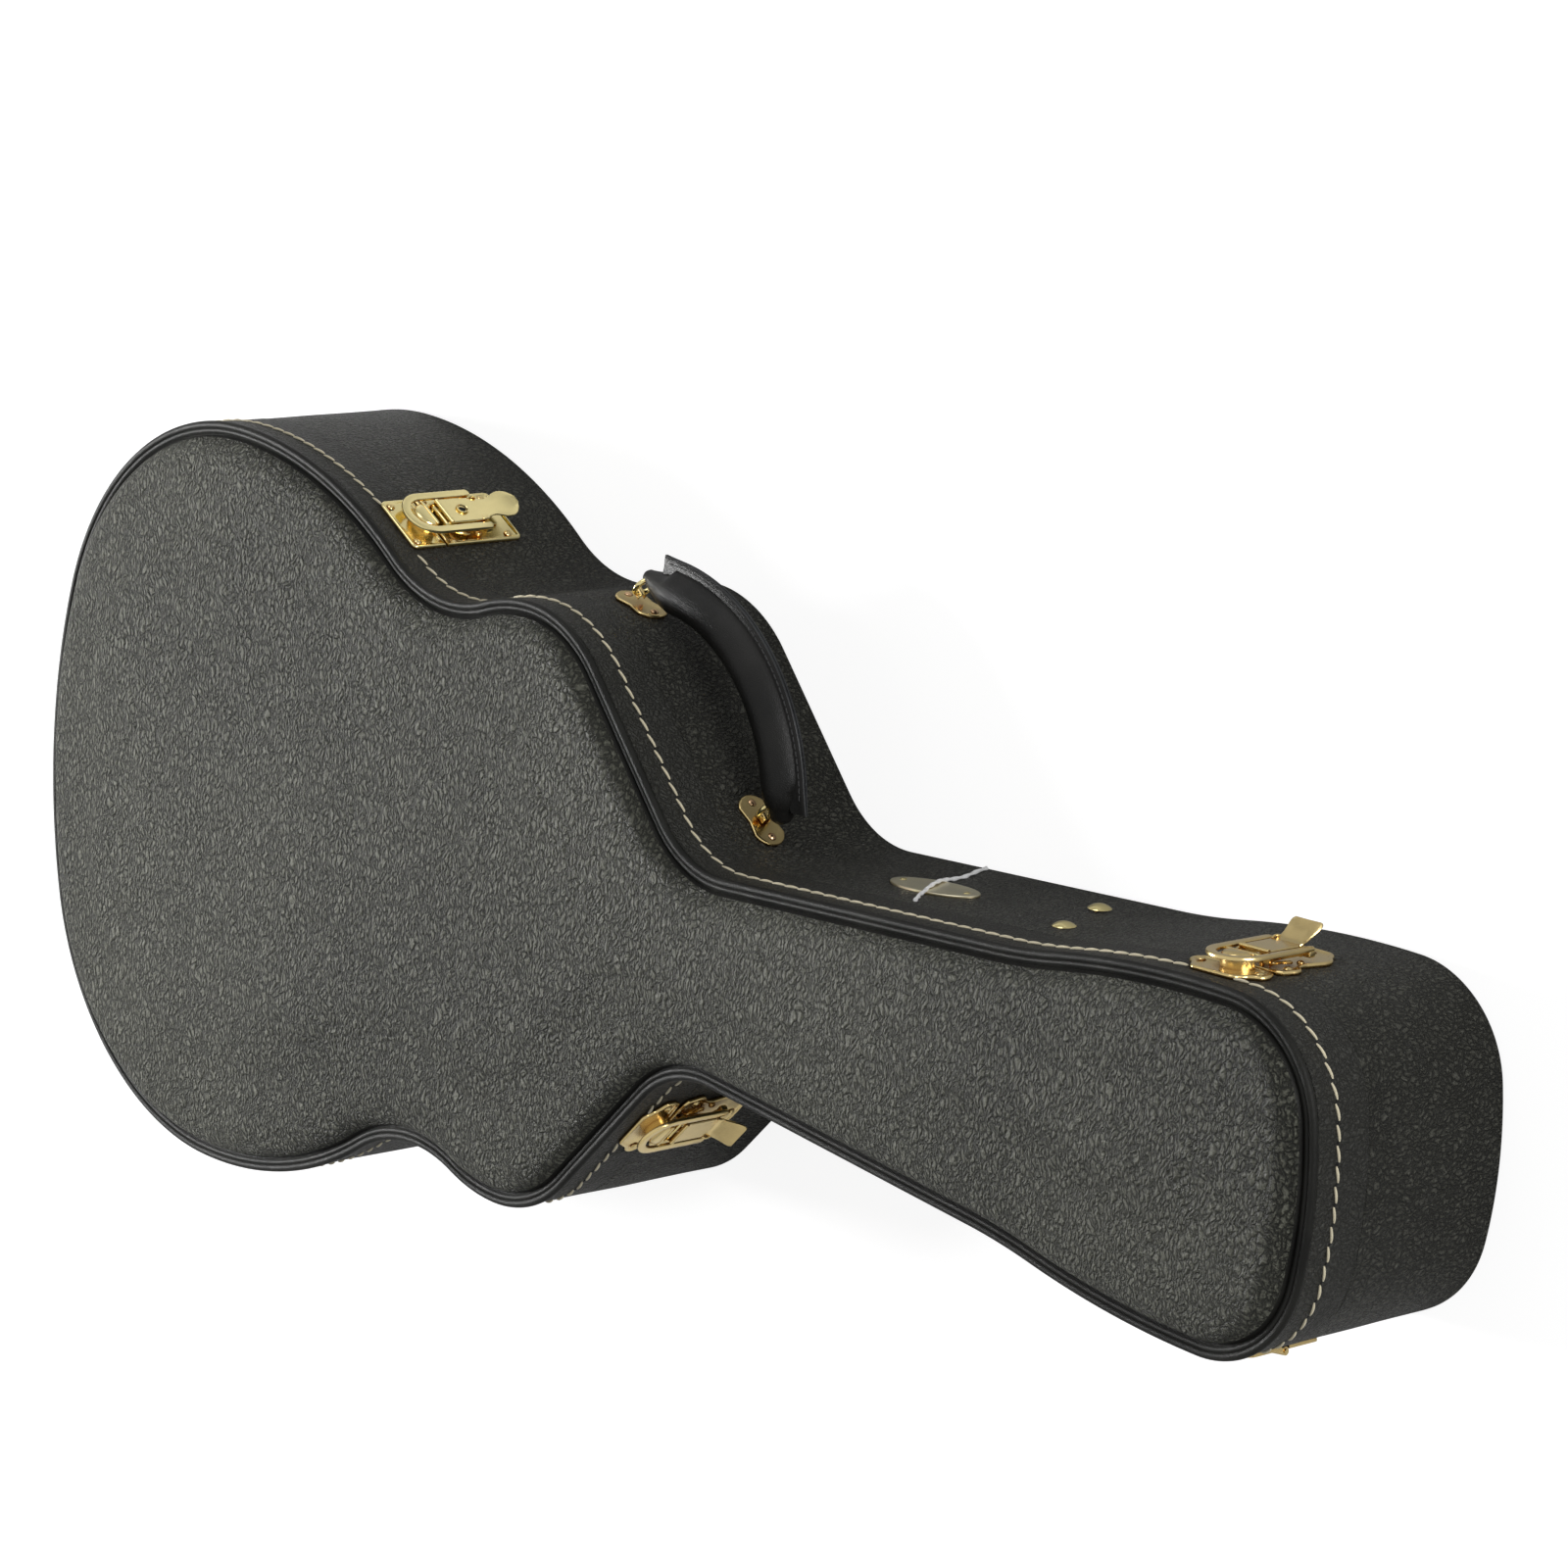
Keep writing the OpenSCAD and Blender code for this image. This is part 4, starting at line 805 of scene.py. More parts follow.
def soft_sim(ob, voxel, pressure, cap, frames=20):
    """Cloth pass with inner pressure; points may move at most cap, then it is applied."""
    rest_src = ob.data
    rem = ob.modifiers.new("voxel", "REMESH")
    rem.mode, rem.voxel_size = "VOXEL", voxel
    dg = bpy.context.evaluated_depsgraph_get()
    ob.data = bpy.data.meshes.new_from_object(ob.evaluated_get(dg))
    ob.modifiers.clear()
    rest = np.array([v.co for v in ob.data.vertices])
    cl = ob.modifiers.new("cloth", "CLOTH")
    s = cl.settings
    s.quality, s.mass = 4, 0.3
    s.tension_stiffness = s.compression_stiffness = 12
    s.shear_stiffness, s.bending_stiffness = 8, 1.5
    s.use_pressure, s.uniform_pressure_force = True, pressure
    s.effector_weights.gravity = 0
    cl.collision_settings.use_collision = False
    cl.point_cache.frame_start, cl.point_cache.frame_end = 1, frames
    for f in range(1, frames + 1):
        SCENE.frame_set(f)
    dg = bpy.context.evaluated_depsgraph_get()
    moved = np.array([v.co for v in ob.evaluated_get(dg).data.vertices])
    ob.modifiers.clear()
    SCENE.frame_set(1)
    d = moved - rest
    far = np.linalg.norm(d, axis=1, keepdims=True)
    d *= np.minimum(1, cap / np.maximum(far, 1e-9))
    ob.data.vertices.foreach_set("co", (rest + d).ravel())
    ob.data.update()
    ob.data.shade_smooth()
    ob.data.materials.clear()
    ob.data.materials.append(rest_src.materials[0])


def pad_wave(u, depth, pitch_mm, total):
    """Sewn channels across the padding: pinched lines every pitch."""
    n = round(total / pitch_mm)
    t = (u / total * n) % 1.0
    return depth * (1 - np.exp(-((np.minimum(t, 1 - t) * pitch_mm) / 6.0)**2))


seg = np.linalg.norm(np.roll(LOOP, -1, 0) - LOOP, axis=1)
arc_at = np.concatenate([[0], np.cumsum(seg)[:-1]])
channels = pad_wave(arc_at, 1.0, 110.0, seg.sum())[:, None]
pad_prof = [(24, 4.5), (8.9, 4.5), (8.85, 6), (8.85, 88), (8.9, 94), (9.8, 96.6), (12, 97.8), (15, 98),
            (18.5, 97.6), (21.3, 96), (22.9, 92.5), (23.7, 86), (23.8, 74), (23.8, 60), (23.8, 46),
            (23.9, 34), (24.4, 26), (26, 20.8), (29, 18.0), (34, 17.0), (40, 17.0)]
pad_rings = []
for d, z in pad_prof:
    r = ring(d, z)
    if d > 17 and z > 30:
        r[:, :2] = LOOP - (d - 1.2 + 1.6 * channels) * LOOP_N
    pad_rings.append(r)
hollow = filled(pad_rings, 5, flat(4.5), 14, flat(17.0))
pts = hollow.points()
for i in np.nonzero(pts[:, 2] > 16.5)[0]:
    x, y, z = pts[i]
    pts[i, 2] += ripple(x, y, z, 38.0, 0.9, 2.2)
    pts[i, 1] += ripple(x, z, y, 30.0, 0.5, 6.2)
hollow.v = [pts]
make("base_padding", hollow, PLUSH, "base", ["base_lining"], weld=True, angle=70)

# padded lid lining with a crowned underside
lin_prof = [(30, 133.8), (11, 133.8), (9.7, 133.0), (9.4, 131.0), (9.6, 128.4), (10.8, 126.0),
            (13.4, 124.6), (18, 124.0), (26, 123.6), (36, 123.2)]
lin = [ring(d, z) for d, z in lin_prof]


def lid_pad(u, reach):
    return 123.2 - 2.2 * np.sin(np.minimum(reach / 60, 1) * pi / 2)


lining = filled(lin, 5, flat(133.8), 18, lid_pad)
pts = lining.points()
for i in np.nonzero(pts[:, 2] < 126)[0]:
    x, y, z = pts[i]
    pts[i, 2] += ripple(x, y, z, 34.0, 0.8, 9.1)
lining.v = [pts]
make("lid_padding", lining, PLUSH, "lid", ["lid_lining"], weld=True, angle=70)

# neck cushion with a saddle
CR_X = STATION0 - 720
SADDLE_R, SADDLE_Z, CRADLE_FOOT = 28, 86, 17.5
side = [(-37, 19.5), (-37.3, 45), (-36.5, 70), (-34.5, 75.5), (-30.8, 76.2)]
saddle = [(SADDLE_R * sin(rad(t)), SADDLE_Z - SADDLE_R * cos(rad(t)))
          for t in np.linspace(-68, 68, 19)]
outline = side + saddle + [(-y, z) for y, z in side[::-1]]
outline = resample(np.array(outline), 4.0)
onrm = outline_normals(outline)
slices = []
for x, inset in ((-19.5, 4.5), (-19, 2.4), (-17.6, 0.9), (-15, 0), (-7.5, -0.3), (0, -0.4),
                 (7.5, -0.3), (15, 0), (17.6, 0.9), (19, 2.4), (19.5, 4.5)):
    p = outline - inset * onrm
    slices.append(np.c_[np.full(len(p), CR_X + x), p[:, 0], np.maximum(p[:, 1], CRADLE_FOOT)])
cushion = make("neck_cushion", solid(slices), PLUSH, "base",
               ["neck_cradle"], angle=70)

# accessory compartment: padded walls, hinged lid and a ribbon pull
BX0, BX1 = STATION0 - 690, STATION0 - 606


def rounded_rect(x0, x1, y0, y1, r, z, n=5):
    pts = []
    corners = [(x1 - r, y1 - r), (x0 + r, y1 - r), (x0 + r, y0 + r), (x1 - r, y0 + r)]
    for q, (cx, cy) in enumerate(corners):
        for i in range(n + 1):
            a = unit(90 * q + 90 * i / n)
            pts.append((cx + r * a[0], cy + r * a[1], z))
    return pts


def box_ring(inset, z, r):
    return rounded_rect(BX0 + inset, BX1 - inset, -30 + inset, 30 - inset, r, z)


BOX_LEVELS = ((1.0, 17.5, 2.0), (0.2, 18.4, 2.4), (0, 30, 2.5), (0, 50, 2.5), (0.4, 51.6, 2.2),
              (1.5, 52.1, 1.5), (2.7, 51.6, 1.0), (3.0, 50, 1.0), (3.0, 24, 1.0), (3.6, 21, 0.8),
              (6, 20.4, 0.6), (20, 20.4, 0.5))
bx = solid([box_ring(*level) for level in BOX_LEVELS])
for x in (BX0 + 0.1, BX1 - 4.1):
    bx.join(round_box(x, x + 4.0, 25.4, 29.9, 50.5, 56.6, 1.2))
make("accessory_box_plush", bx, VELOUR, "base", ["accessory_box"])
cover = round_box(BX0 + 4.4, BX1 - 4.4, -29.9, 26.5, 53.2, 56.0, 1.1)
cover.join(round_box(BX0 + 9, BX1 - 9, -25.5, 22, 55.2, 57.6, 1.9, 6))
barrel = [[(x, 27.5 + r * cos(a), 54.5 + r * sin(a))
           for a in around(24)]
          for x, r in ((BX0 + 4.3, 1.2), (BX0 + 4.3, 1.9), (BX0 + 4.6, 2.2), (BX1 - 4.6, 2.2),
                       (BX1 - 4.3, 1.9), (BX1 - 4.3, 1.2))]
cover.join(solid(barrel))
make("accessory_lid_plush", cover, VELOUR, "accessory_cover", ["accessory_lid"])
pull_path = [(-16, 57.7), (-22, 58.0), (-27, 57.9), (-31, 58.2), (-33.2, 57.4), (-33.0, 56.6),
             (-30.5, 56.4), (-28, 56.3)]
px = (BX0 + BX1) / 2
rib = []
for k, (y, z) in enumerate(pull_path):
    a, b = pull_path[max(k - 1, 0)], pull_path[min(k + 1, len(pull_path) - 1)]
    t = np.array([b[0] - a[0], b[1] - a[1]])
    t /= np.linalg.norm(t)
    nx = np.array([-t[1], t[0]]) * 0.35
    rib.append([(px - 7, y + nx[0], z + nx[1]), (px + 7, y + nx[0], z + nx[1]),
                (px + 7, y - nx[0], z - nx[1]), (px - 7, y - nx[0], z - nx[1])])
make("accessory_pull_ribbon", solid(rib), RIBBON, "accessory_cover",
     ["accessory_pull"], angle=50)

# ---------------------------------------------------------------- latches
PLATE = [(0.35, 0.0), (0.0, 0.5), (0.0, 1.6), (0.3, 2.2), (0.8, 2.5), (1.5, 2.5), (2.1, 2.2),
         (2.7, 1.75), (3.3, 1.6)]


def softened(outline, times=2):
    """Corner cutting, for outlines that were pressed rather than sheared."""
    for _ in range(times):
        nxt = np.roll(outline, -1, 0)
        outline = np.stack([outline * 0.75 + nxt * 0.25, outline * 0.25 + nxt * 0.75], 1).reshape(-1, 2)
    return outline


CATCH_LENGTH, LATCH_LENGTH = 23.5, 55
EDGE_GAP, PLATE_CORNER = 0.8, 4


def straight_plate(length, way):
    """Plate with two round corners at its far end; way is +1 up or -1 down."""
    w, r = STRAIGHT_HALF, PLATE_CORNER
    arc = circle_path(vec2(w - r, way * (length - r)), r, 0, way * 90, 6)
    return resample(mirrored([vec2(w, way * EDGE_GAP)] + arc), 1.6)


def ogee_catch():
    w, t = OGEE_HALF + 1, CATCH_LENGTH
    right = [vec2(w - 4, EDGE_GAP)] + circle_path(vec2(w - 6, 9), 6, -35, 70, 8) \
        + circle_path(vec2(w - 1.5, t - 2.5), 6.5, 235, 205, 3) \
        + circle_path(vec2(w - 14, t - 5), 5, 25, 90, 6)
    return resample(softened(mirrored(right)), 1.0)


def ogee_base():
    w, t = OGEE_HALF + 1, LATCH_LENGTH
    right = [vec2(w - 3, -EDGE_GAP)] + circle_path(vec2(w - 6, -12), 6, 30, -60, 8) \
        + circle_path(vec2(w + 1, -24), 8, 130, 200, 7) \
        + circle_path(vec2(w - 13, -38), 9, 20, -50, 6) \
        + circle_path(vec2(5, 10 - t), 10, -20, -90, 7)
    return resample(softened(mirrored(right)), 1.0)


def boss():
    """Half-round catch boss, flat side toward the lever."""
    outline = [vec2(9.6, 2.6)] + circle_path(vec2(0, 2.5), 9.7, 10, 170, 18) + [vec2(-9.6, 2.6)]
    outline = resample(np.array(outline), 1.2)
    c = np.array([0, 6.0])
    rings = []
    for shrink, y in ((1.0, 1.4), (1.0, 5.6), (0.99, 6.8), (0.95, 7.7), (0.88, 8.4), (0.78, 8.95),
                      (0.62, 9.35), (0.4, 9.6), (0.18, 9.7)):
        p = c + (outline - c) * shrink
        rings.append(np.c_[p[:, 0], np.full(len(p), y), p[:, 1]])
    part = solid(rings)
    return part.join(round_box(-9.2, 9.2, 6.2, 9.6, 1.6, 3.6, 0.8))


def bezel():
    """Flat D-shaped loop; its square ends turn down to the eyes on the loop pin."""
    half, band, bend, end = 16.5, 5.1, 3.2, -33.4
    n = 22
    outer = [vec2(half - 1.6, end), vec2(half - 0.5, end + 0.5), vec2(half, end + 1.6)]
    inner = [vec2(half - band + 0.6, end), vec2(half - band + 0.2, end + 0.3),
             vec2(half - band, end + 1.0)]
    outer += [vec2(half, z) for z in (-24, -12, -4)]
    inner += [vec2(half - band, z) for z in (-24, -12, -4)]
    k = len(outer)
    outer += circle_path(vec2(0, bend), half, 0, 180, n)
    inner += circle_path(vec2(0, bend), half - band, 0, 180, n)
    outer += [vec2(-p[0], p[1]) for p in outer[k - 1::-1]]
    inner += [vec2(-p[0], p[1]) for p in inner[k - 1::-1]]
    prof = [(0.05, 7.5), (0.0, 7.8), (0.0, 8.9), (0.06, 9.4), (0.2, 9.65), (0.8, 9.5), (0.94, 9.3),
            (1.0, 8.9), (1.0, 7.9), (0.94, 7.5)]
    part = ribbon(outer, inner, prof)
    for x in (-half + 0.1, half - band + 0.1):
        part.join(round_box(x, x + band - 0.2, 4.4, 8.4, end + 0.2, end + 4.4, 0.8))
    return part


def lever(tilt, curl, halves, reach):
    """Cover with rolled lip and side cheeks, then neck and thumb lobe."""
    hw = 9.6
    part = Part()
    rows = []
    for z in (-7.0, -8, -12, -18, -24, -29, -31.2):
        rows.append([(-hw, 7.4, z), (-hw, 8.9, z), (-hw + 0.5, 9.4, z), (hw - 0.5, 9.4, z),
                     (hw, 8.9, z), (hw, 7.4, z), (hw - 0.8, 7.8, z), (-hw + 0.8, 7.8, z)])
    part.loft(rows, caps=(True, True))
    lip_ring = [[(x, 9.2 + r * sin(a), -7.4 + r * cos(a))
                 for a in around(14)]
                for x, r in ((-hw + 0.2, 0.5), (-hw, 0.95), (-hw + 0.3, 1.25), (hw - 0.3, 1.25),
                             (hw, 0.95), (hw - 0.2, 0.5))]
    part.join(solid(lip_ring))
    for s in (-1, 1):
        cheek = [(-31.5, 8.4), (-6.0, 8.4), (-3.6, 7.4), (-2.9, 5.8), (-3.9, 4.0), (-7, 3.1),
                 (-12, 4.0), (-28, 4.2), (-30.5, 3.5), (-33.2, 3.8), (-34.6, 5.6), (-34, 7.6)]
        rings = [[(s * x, y, z) for z, y in cheek] for x in (hw - 1.35, hw)]
        part.join(solid(rings))
    for s in (-1, 1):
        curl_ = [(s * (hw - 0.6), 9.1, -29.6), (s * hw, 9.9, -31.2), (s * (hw - 0.4), 10.3, -33.0),
                 (s * (hw - 1.8), 10.2, -34.6)]
        part.join(tube(smooth_path(curl_, 4), 0.75, 8))
    z, y = -30.6, 8.7
    path = [(z, y)]
    steps = 15
    for k in range(steps):
        a = rad(tilt * min(1.0, (k + 1) / 4) + curl * (k / steps)**2)
        z -= reach / steps * cos(a)
        y += reach / steps * sin(a)
        path.append((z, y))
    rows = []
    for k, ((z, y), w) in enumerate(zip(path, halves)):
        a, b = path[max(k - 1, 0)], path[min(k + 1, steps)]
        t = np.array([b[0] - a[0], b[1] - a[1]])
        t /= np.linalg.norm(t)
        nz, ny = t[1], -t[0]
        row = []
        for u, h in ((-1, 0.0), (-0.97, 0.55), (-0.88, 0.8), (-0.4, 0.66), (0, 0.6), (0.4, 0.66),
                     (0.88, 0.8), (0.97, 0.55), (1, 0.0), (0.95, -0.6), (0, -0.75), (-0.95, -0.6)):
            row.append((u * w, y + h * ny, z + h * nz))
        rows.append(row)
    part.join(solid(rows))
    return part


NECKED = (9.6, 9.5, 9.0, 8.0, 7.1, 6.7, 6.9, 7.8, 8.9, 9.8, 10.3, 10.3, 9.8, 8.7, 6.6, 2.6)
BROAD = (9.4, 9.0, 8.7, 8.6, 8.6, 8.7, 8.8, 9.0, 9.2, 9.4, 9.7, 9.9, 10.1, 10.2, 10.0, 9.0)


def base_extras(straight):
    """Spring wire and lugs that show between the loop and the base plate."""
    part = Part()
    for s in (-1, 1):
        part.join(round_box(min(s * 5.7, s * 7.5), max(s * 5.7, s * 7.5), 1.6, 6.9, -7.3, -4.7, 0.6))
        wire = [(s * 8.6, 2.2, -9), (s * 11.0, 3.3, -10.5), (s * 13.2, 3.7, -14), (s * 14.2, 3.4, -17.5),
                (s * 13.0, 2.9, -20), (s * 11.0, 2.7, -20.6), (s * 9.8, 2.8, -18.8)]
        part.join(tube(smooth_path(wire, 4), 0.75, 8))
        part.join(dome(s * 12.2, -27.5, 1.5, 2.0, 1.4))
    if straight:
        part.join(round_box(-7.5, 7.5, 1.6, 3.4, -44, -38, 0.7))
    return part


def smooth_path(points, sub):
    """Catmull-Rom through the points."""
    p = np.asarray(points, float)
    p = np.vstack([2 * p[0] - p[1], p, 2 * p[-1] - p[-2]])
    out = []
    for i in range(1, len(p) - 2):
        for k in range(sub):
            t = k / sub
            out.append(0.5 * ((2 * p[i]) + (p[i + 1] - p[i - 1]) * t
                              + (2 * p[i - 1] - 5 * p[i] + 4 * p[i + 1] - p[i + 2]) * t * t
                              + (-p[i - 1] + 3 * p[i] - 3 * p[i + 1] + p[i + 2]) * t**3))
    out.append(p[-2])
    return np.array(out)


def latch(key, spot, straight):
    """Four shown pieces: straight plates with a necked tab, or ogee plates with a broad one."""
    m = on_wall(spot)
    mat = GOLD if straight else ANTIQUE
    catch = straight_plate(CATCH_LENGTH, 1) if straight else ogee_catch()
    base = straight_plate(LATCH_LENGTH, -1) if straight else ogee_base()
    tab = lever(4, 22, NECKED, 27.6) if straight else lever(30, 16, BROAD, 18.0)
    for piece, part, body, node in (
            ("catch", stamped(catch, PLATE).join(boss()), "lid", "catch_plate"),
            ("base_plate", stamped(base, PLATE).join(base_extras(straight)), "base", "latch_base"),
            ("loop_bezel", bezel(), key + "_loop_body", "loop"),
            ("lever_cover", tab, key + "_lever_body", "lever")):
        make(f"{key}_{piece}", part.place(m), mat, body, [f"{key}_{node}"], angle=35)


latch("bout", BOUT, True)
for key, spot in zip(("head", "shoulder", "butt"), OGEE_SPOTS):
    latch(key, spot, False)

# key cylinder of the lower bout latch: raised collar and a sunk core; a near-black low dome over the
# core and a near-black keyway slot are painted shade
KEY_Z = -20
cyl = turned(((3.4, 7.0), (3.6, 8.0), (3.8, 9.5), (3.8, 10.3), (3.6, 10.6), (3.3, 10.65), (3.0, 10.4),
              (2.85, 9.7), (2.5, 9.5), (1.0, 9.5)), 0, KEY_Z, 32)
make("bout_key_barrel", cyl.place(on_wall(BOUT)), GOLD, "key_body", ["bout_key_cylinder"],
     angle=35)
# painted shade: the keyway slot and a low dome over the core are dark pieces set where their shade would
# be
keyway_shade = round_box(-0.9, 0.9, 9.3, 9.85, KEY_Z - 2.5, KEY_Z + 2.5, 0.25, 2)
keyway_shade.join(dome(0, KEY_Z, 9.45, 2.0, 0.4))
make("bout_keyway_shade", keyway_shade.place(on_wall(BOUT)), HOLE_SHADE, "key_body")

# ---------------------------------------------------------------- handle
GRIP_R, PATH_R, RIDGE_R = 11.5, 103.0, 121.5
offset = 6.5 - sqrt(PATH_R**2 - RING_SPAN**2)
SHIFT = 7.0
GRIP_SIDES, GRIP_TURN = 48, 39


def arc_frame(theta):
    a = rad(90 - theta)
    return np.array([cos(a), sin(a), 0.0])


def grip_section(theta, swell):
    """Round grip drawn up into the stitched ridge on its outer side."""
    out = arc_frame(theta)
    pts = []
    for i in range(GRIP_SIDES):
        a = 2 * pi * i / GRIP_SIDES
        u, v = GRIP_R * swell * cos(a), GRIP_R * swell * sin(a)
        if u > 0:
            u += 2.4 * max(0.0, cos(a))**3
            v *= 1 - 0.10 * max(0.0, cos(a))**2
        pts.append(out * (PATH_R + u) + np.array([SHIFT, offset, v]))
    return np.array(pts)


def end_rows(side, tip):
    """Sections from the end of the grip to the leather round the ring."""
    start, way = arc_frame(side * GRIP_TURN) * PATH_R + np.array([SHIFT, offset, 0]), []
    x, y, r = tip
    goal = np.array([x, y, 0.0])
    tangent = np.array([cos(rad(GRIP_TURN)) * side, -sin(rad(GRIP_TURN)), 0.0])
    for t in (0.12, 0.3, 0.5, 0.7, 0.88, 1.0):
        way.append((start * (1 - t) + goal * t + tangent * 3.5 * t * (1 - t),
                    GRIP_R * 0.985 + (r - GRIP_R * 0.985) * t**(0.9 if side < 0 else 1.7)))
    last = (goal - start) / np.linalg.norm(goal - start)
    way += [(goal + last * r * sin(rad(b)), r * cos(rad(b))) for b in (25, 45, 62, 76, 86)]
    rows = []
    for k, (c, rr) in enumerate(way):
        d = way[min(k + 1, len(way) - 1)][0] - way[max(k - 1, 0)][0]
        d = d / np.linalg.norm(d) * side
        out = np.array([-d[1], d[0], 0.0])
        rows.append([c + out * rr * cos(a) + np.array([0, 0, rr * sin(a)])
                     for a in around(GRIP_SIDES)])
    return rows


# where each end of the grip meets its ring: x, y and radius
BOUT_END = (-RING_SPAN - 0.4, 6.8, 4.6)
NECK_END = (RING_SPAN + 6.0, 7.2, 7.2)
grip_rows = end_rows(-1, BOUT_END)[::-1]
grip_rows += [grip_section(t, 1 + 0.03 * cos(rad(t * 2.2))) for t in np.linspace(-38, 38, 43)]
grip_rows += end_rows(1, NECK_END)
handle = solid(grip_rows)
RIDGE_ENDS = (-43.5, 46.0)


def ridge_rows(r_out, half, profile):
    """Two plies sewn together, thinning toward the pointed ends."""
    rows = []
    lo, hi = RIDGE_ENDS
    for t in np.linspace(lo, hi, 61):
        edge = max(0.0, 1 - (t - lo) / 7, 1 - (hi - t) / 7)
        inner = PATH_R + 6 + 4.0 * edge**2
        outer = r_out + 1.2 * edge**2
        out = arc_frame(t)
        rows.append([out * (inner + (outer - inner) * u if u <= 1 else outer + (u - 1) * 4)
                     + np.array([SHIFT, offset, half * w * (1 - 0.4 * edge)]) for u, w in profile])
    return rows


PLIES = ((0, 1.9), (0.35, 1.25), (0.8, 1.0), (0.93, 0.9), (1.0, 0.5), (0.97, 0.12), (0.97, -0.12),
         (1.0, -0.5), (0.93, -0.9), (0.8, -1.0), (0.35, -1.25), (0, -1.9))
handle.join(solid(ridge_rows(RIDGE_R, 1.9, PLIES)))
make("handle_leather", handle.place(AT_HANDLE), GRIP, "handle", ["handle_grip"], angle=50)
# burnished edges of the two plies, and the stitches beside them
for tag_, sign in (("upper", 1), ("lower", -1)):
    rim = ((1.0, 0.85), (1.06, 0.7), (1.09, 0.45), (1.06, 0.2), (0.99, 0.12), (0.93, 0.5))
    rim = [(u, w * sign) for u, w in rim]
    strip = solid(ridge_rows(RIDGE_R, 1.9, rim))
    make("handle_ply_edge_" + tag_, strip.place(AT_HANDLE), EDGE, "handle")
STITCHES = 44
STITCH_TURN = 84 / STITCHES
sew = Part()
for side_z in (-1, 1):
    for k in range(STITCHES):
        t0 = -41.5 + k * STITCH_TURN
        path = []
        for j in range(5):
            t = t0 + (0.12 + 0.76 * j / 4) * STITCH_TURN
            lift = 1.95 + 0.32 * sin(pi * j / 4) - 0.12
            path.append(arc_frame(t) * (RIDGE_R - 2.7) + np.array([SHIFT, offset, side_z * lift]))
        sew.join(tube(path, 0.34, 6))
make("handle_stitching", sew.place(AT_HANDLE), DARK_THREAD, "handle")


def mount(key, spot, sink):
    """Two-lobed plate with a strap over the ring."""
    m = on_wall(spot, 1 - sink, -HANDLE_DROP)
    right = [vec2(0.0, -8.5)] + circle_path(vec2(6.5, 0), 10.5, -75, 75, 14) + [vec2(0.0, 8.5)]
    outline = resample(np.array(right + [vec2(-p[0], p[1]) for p in right[-2:0:-1]]), 1.5)
    part = stamped(outline, [(0.3, -0.1), (0.0, 0.4), (0.0, 1.5), (0.4, 2.0), (1.0, 2.15), (1.8, 2.0)])
    make(key + "_mount_plate", part.place(m), ANTIQUE, "base", [key + "_handle_mount"],
         angle=35)
    x = RING_SPAN * (-1 if key == "bout" else 1)
    strap = []
    for a in np.linspace(-8, 188, 22):
        ca, sa = cos(rad(a)), sin(rad(a))
        rows = []
        for dx, dr in ((-3.2, 0.0), (-3.0, 0.55), (3.0, 0.55), (3.2, 0.0), (3.0, -0.5), (-3.0, -0.5)):
            r = 2.2 + dr * 0.7
            rows.append((x + dx, -6.5 + (r * sa if sa > 0 else 9 * sa), r * ca))
        strap.append(rows)
    part = solid(strap).place(AT_HANDLE)
    make(key + "_mount_strap", part, ANTIQUE, "base", angle=45)


mount("bout", BOUT_MOUNT, BOUT_SINK)
mount("neck", NECK_MOUNT, 0.0)

# ---------------------------------------------------------------- blank plate and tag string
OVAL_HALF, OVAL_HEIGHT, OVAL_S, OVAL_Z = 31, 14, 697, 63.5
oval = np.array([vec2(OVAL_HALF * cos(a), OVAL_HEIGHT * sin(a)) for a in around(72)])
m = on_wall(neck_spot(OVAL_S), 1.0, OVAL_Z - BASE_H)
part = stamped(oval, [(0.2, 0.0), (0.0, 0.25), (0.0, 0.95), (0.25, 1.3), (0.7, 1.45), (3.0, 1.5)])
make("oval_blank_plate", part.place(m), PALE, "base", ["oval_plate"], angle=35)


def neck_wall(s, z, lift):
    p = neck_spot(s)
    n = unit(neck_normal)
    return (STATION0 - (p[0] + n[0] * lift), -(p[1] + n[1] * lift), z)


# (distance from the butt end, height, lift off the wall)
STRING_PATH = ((716, 96, 1.0), (712, 90, 1.3), (707, 84, 1.1), (704, 78, 1.4), (700, 71, 2.3),
               (697, 64, 3.0), (693, 56, 2.8), (691, 49, 2.2), (688, 40, 1.2), (686, 30, 1.1),
               (681, 18, 1.2), (677, 6, 1.2))
tag = smooth_path([neck_wall(*spot) for spot in STRING_PATH], 7)
make("tag_string", tube(tag, 0.95, 12, lobes=2, twist=0.42), STRING, "base")

# ---------------------------------------------------------------- carried CAD pieces
def finish_cad(name, mat, bevel=0.15):
    """Material and softened edges for a CAD piece that is shown as it is."""
    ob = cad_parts[name]
    ob.data.materials.clear()
    ob.data.materials.append(mat)
    weld = ob.modifiers.new("weld", "WELD")
    weld.merge_threshold = 1e-6
    if bevel:
        b = ob.modifiers.new("bevel", "BEVEL")
        b.width, b.segments, b.limit_method, b.angle_limit = bevel * MM, 2, "ANGLE", rad(35)


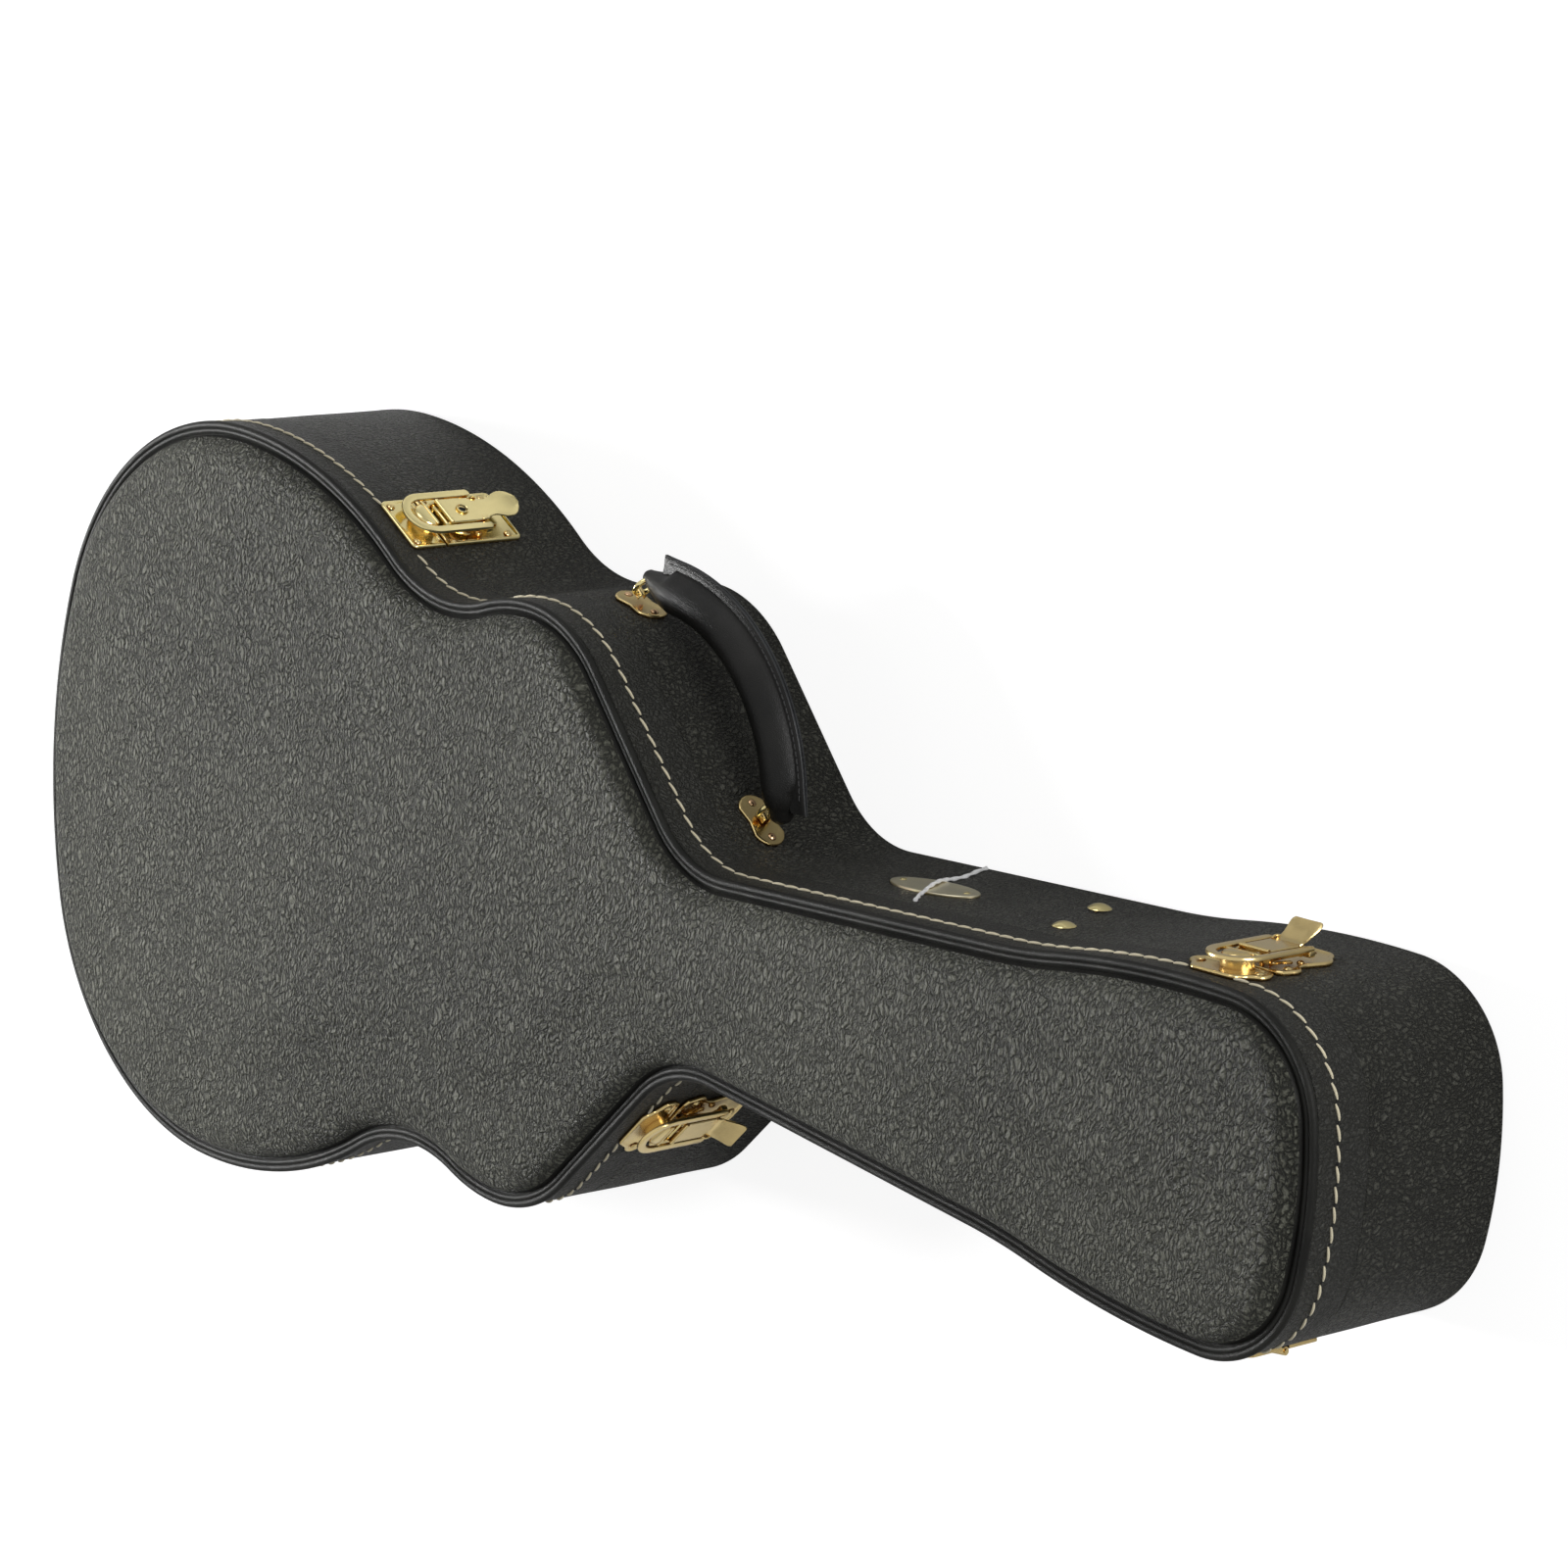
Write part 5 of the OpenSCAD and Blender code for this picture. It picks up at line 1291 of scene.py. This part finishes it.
for name in ("bout_loop_pin", "latch_pivot_pins", "neck_studs", "oval_plate_pins"):
    finish_cad(name, GOLD)
for name in ("head_loop_pin", "shoulder_loop_pin", "butt_loop_pin", "lid_plate_rivets",
             "base_plate_rivets", "bout_hinge_base_leaf", "bout_hinge_lid_leaf", "accessory_pin",
             "head_hinge_base_leaf", "head_hinge_lid_leaf", "hinge_pins", "hinge_base_rivets",
             "hinge_lid_rivets"):
    finish_cad(name, ANTIQUE)
for name in ("bout_handle_ring", "neck_handle_ring"):
    finish_cad(name, GOLD, 0)
finish_cad("handle_mount_rivets", COPPER)

# ---------------------------------------------------------------- floor, light, camera
floor_me = bpy.data.meshes.new("floor")
floor_me.from_pydata([(-30, -30, 0), (30, -30, 0), (30, 30, 0), (-30, 30, 0)], [], [(0, 1, 2, 3)])
floor = add_object("floor", floor_me)
# the camera sees a near-white floor; light bouncing off it sees a mid grey
fm = Mat("floor_white")
patches = fm.ramp(fm.noise(2.2, 2.0), 0.35, 0.65)
fm.set(Base_Color=fm.mix(patches, (0.34, 0.34, 0.34), (0.62, 0.62, 0.62)), Roughness=0.9,
       Specular_IOR_Level=0.1)
seen = fm.node("ShaderNodeBsdfPrincipled")
soft = fm.ramp(fm.noise(0.8, 2.0), 0.3, 0.7)
fm.put(seen, Base_Color=fm.mix(soft, (0.26, 0.26, 0.26), (0.3, 0.3, 0.3)), Roughness=0.9,
       Specular_IOR_Level=0.02, Emission_Color=(1, 1, 1, 1), Emission_Strength=0.86)
path_ = fm.node("ShaderNodeLightPath")
swap = fm.node("ShaderNodeMixShader")
fm.t.links.new(path_.outputs["Is Camera Ray"], swap.inputs[0])
fm.t.links.new(fm.b.outputs[0], swap.inputs[1])
fm.t.links.new(seen.outputs[0], swap.inputs[2])
fm.t.links.new(swap.outputs[0], fm.out.inputs[0])
floor_me.materials.append(fm.m)

# soft studio: bright overhead, dimmer toward the horizon
world = bpy.data.worlds.new("studio")
SCENE.world = world
world.use_nodes = True
wt = world.node_tree
bg = wt.nodes["Background"]
sky = wt.nodes.new("ShaderNodeTexCoord")
sep = wt.nodes.new("ShaderNodeSeparateXYZ")
rng = wt.nodes.new("ShaderNodeMapRange")
wt.links.new(sky.outputs["Generated"], sep.inputs[0])
wt.links.new(sep.outputs["Z"], rng.inputs[0])
for i, v in enumerate((-0.1, 1.0, 0.2, 0.4)):
    rng.inputs[i + 1].default_value = v
# reflections see a brighter room than the diffuse light comes from
GLOSS_BOOST = 0.7
gloss = wt.nodes.new("ShaderNodeLightPath")
lift = wt.nodes.new("ShaderNodeMath")
lift.operation = "MULTIPLY_ADD"
wt.links.new(gloss.outputs["Is Glossy Ray"], lift.inputs[0])
lift.inputs[1].default_value, lift.inputs[2].default_value = GLOSS_BOOST, 1.0
gain = wt.nodes.new("ShaderNodeMath")
gain.operation = "MULTIPLY"
wt.links.new(lift.outputs[0], gain.inputs[0])
wt.links.new(rng.outputs[0], gain.inputs[1])
wt.links.new(gain.outputs[0], bg.inputs["Strength"])
bg.inputs["Color"].default_value = (1, 1, 1, 1)


def area(name, loc, target, size, power):
    data = bpy.data.lights.new(name, "AREA")
    data.shape, data.size, data.energy = "DISK", size, power
    ob = add_object(name, data)
    ob.location = loc
    ob.rotation_mode = "QUATERNION"
    ob.rotation_quaternion = (Vector(target) - Vector(loc)).to_track_quat("-Z", "Y")


area("key", (1.45, 0.1, 1.3), (-0.2, 0.0, 0.1), 0.6, 56)
area("top", (-0.2, -2.0, 1.0), (-0.3, -0.1, 0.1), 1.2, 6)
area("fill", (-2.7, -0.9, 0.6), (-0.3, -0.1, 0.1), 1.2, 30)

cam_data = bpy.data.cameras.new("camera")
cam_data.lens, cam_data.sensor_width = 119.69, 36
cam = add_object("camera", cam_data)
zc = Vector((-0.71103, -0.23550, 0.66256)).normalized()
yc = Vector((0.22314, -0.96911, -0.10500))
yc = (yc - zc * yc.dot(zc)).normalized()
xc = yc.cross(zc)
cam.matrix_world = Matrix.Translation((-2.39415, -0.75171, 1.92019)) @ Matrix(
    (xc, yc, zc)).transposed().to_4x4()
cam_data.clip_start, cam_data.clip_end = 0.05, 100
SCENE.camera = cam
SCENE.view_settings.view_transform = "Standard"

CLOTH_VOXEL, CLOTH_PRESSURE, CLOTH_REACH = 0.0028, 3.0, 0.002
soft_sim(cushion, CLOTH_VOXEL, CLOTH_PRESSURE, CLOTH_REACH)
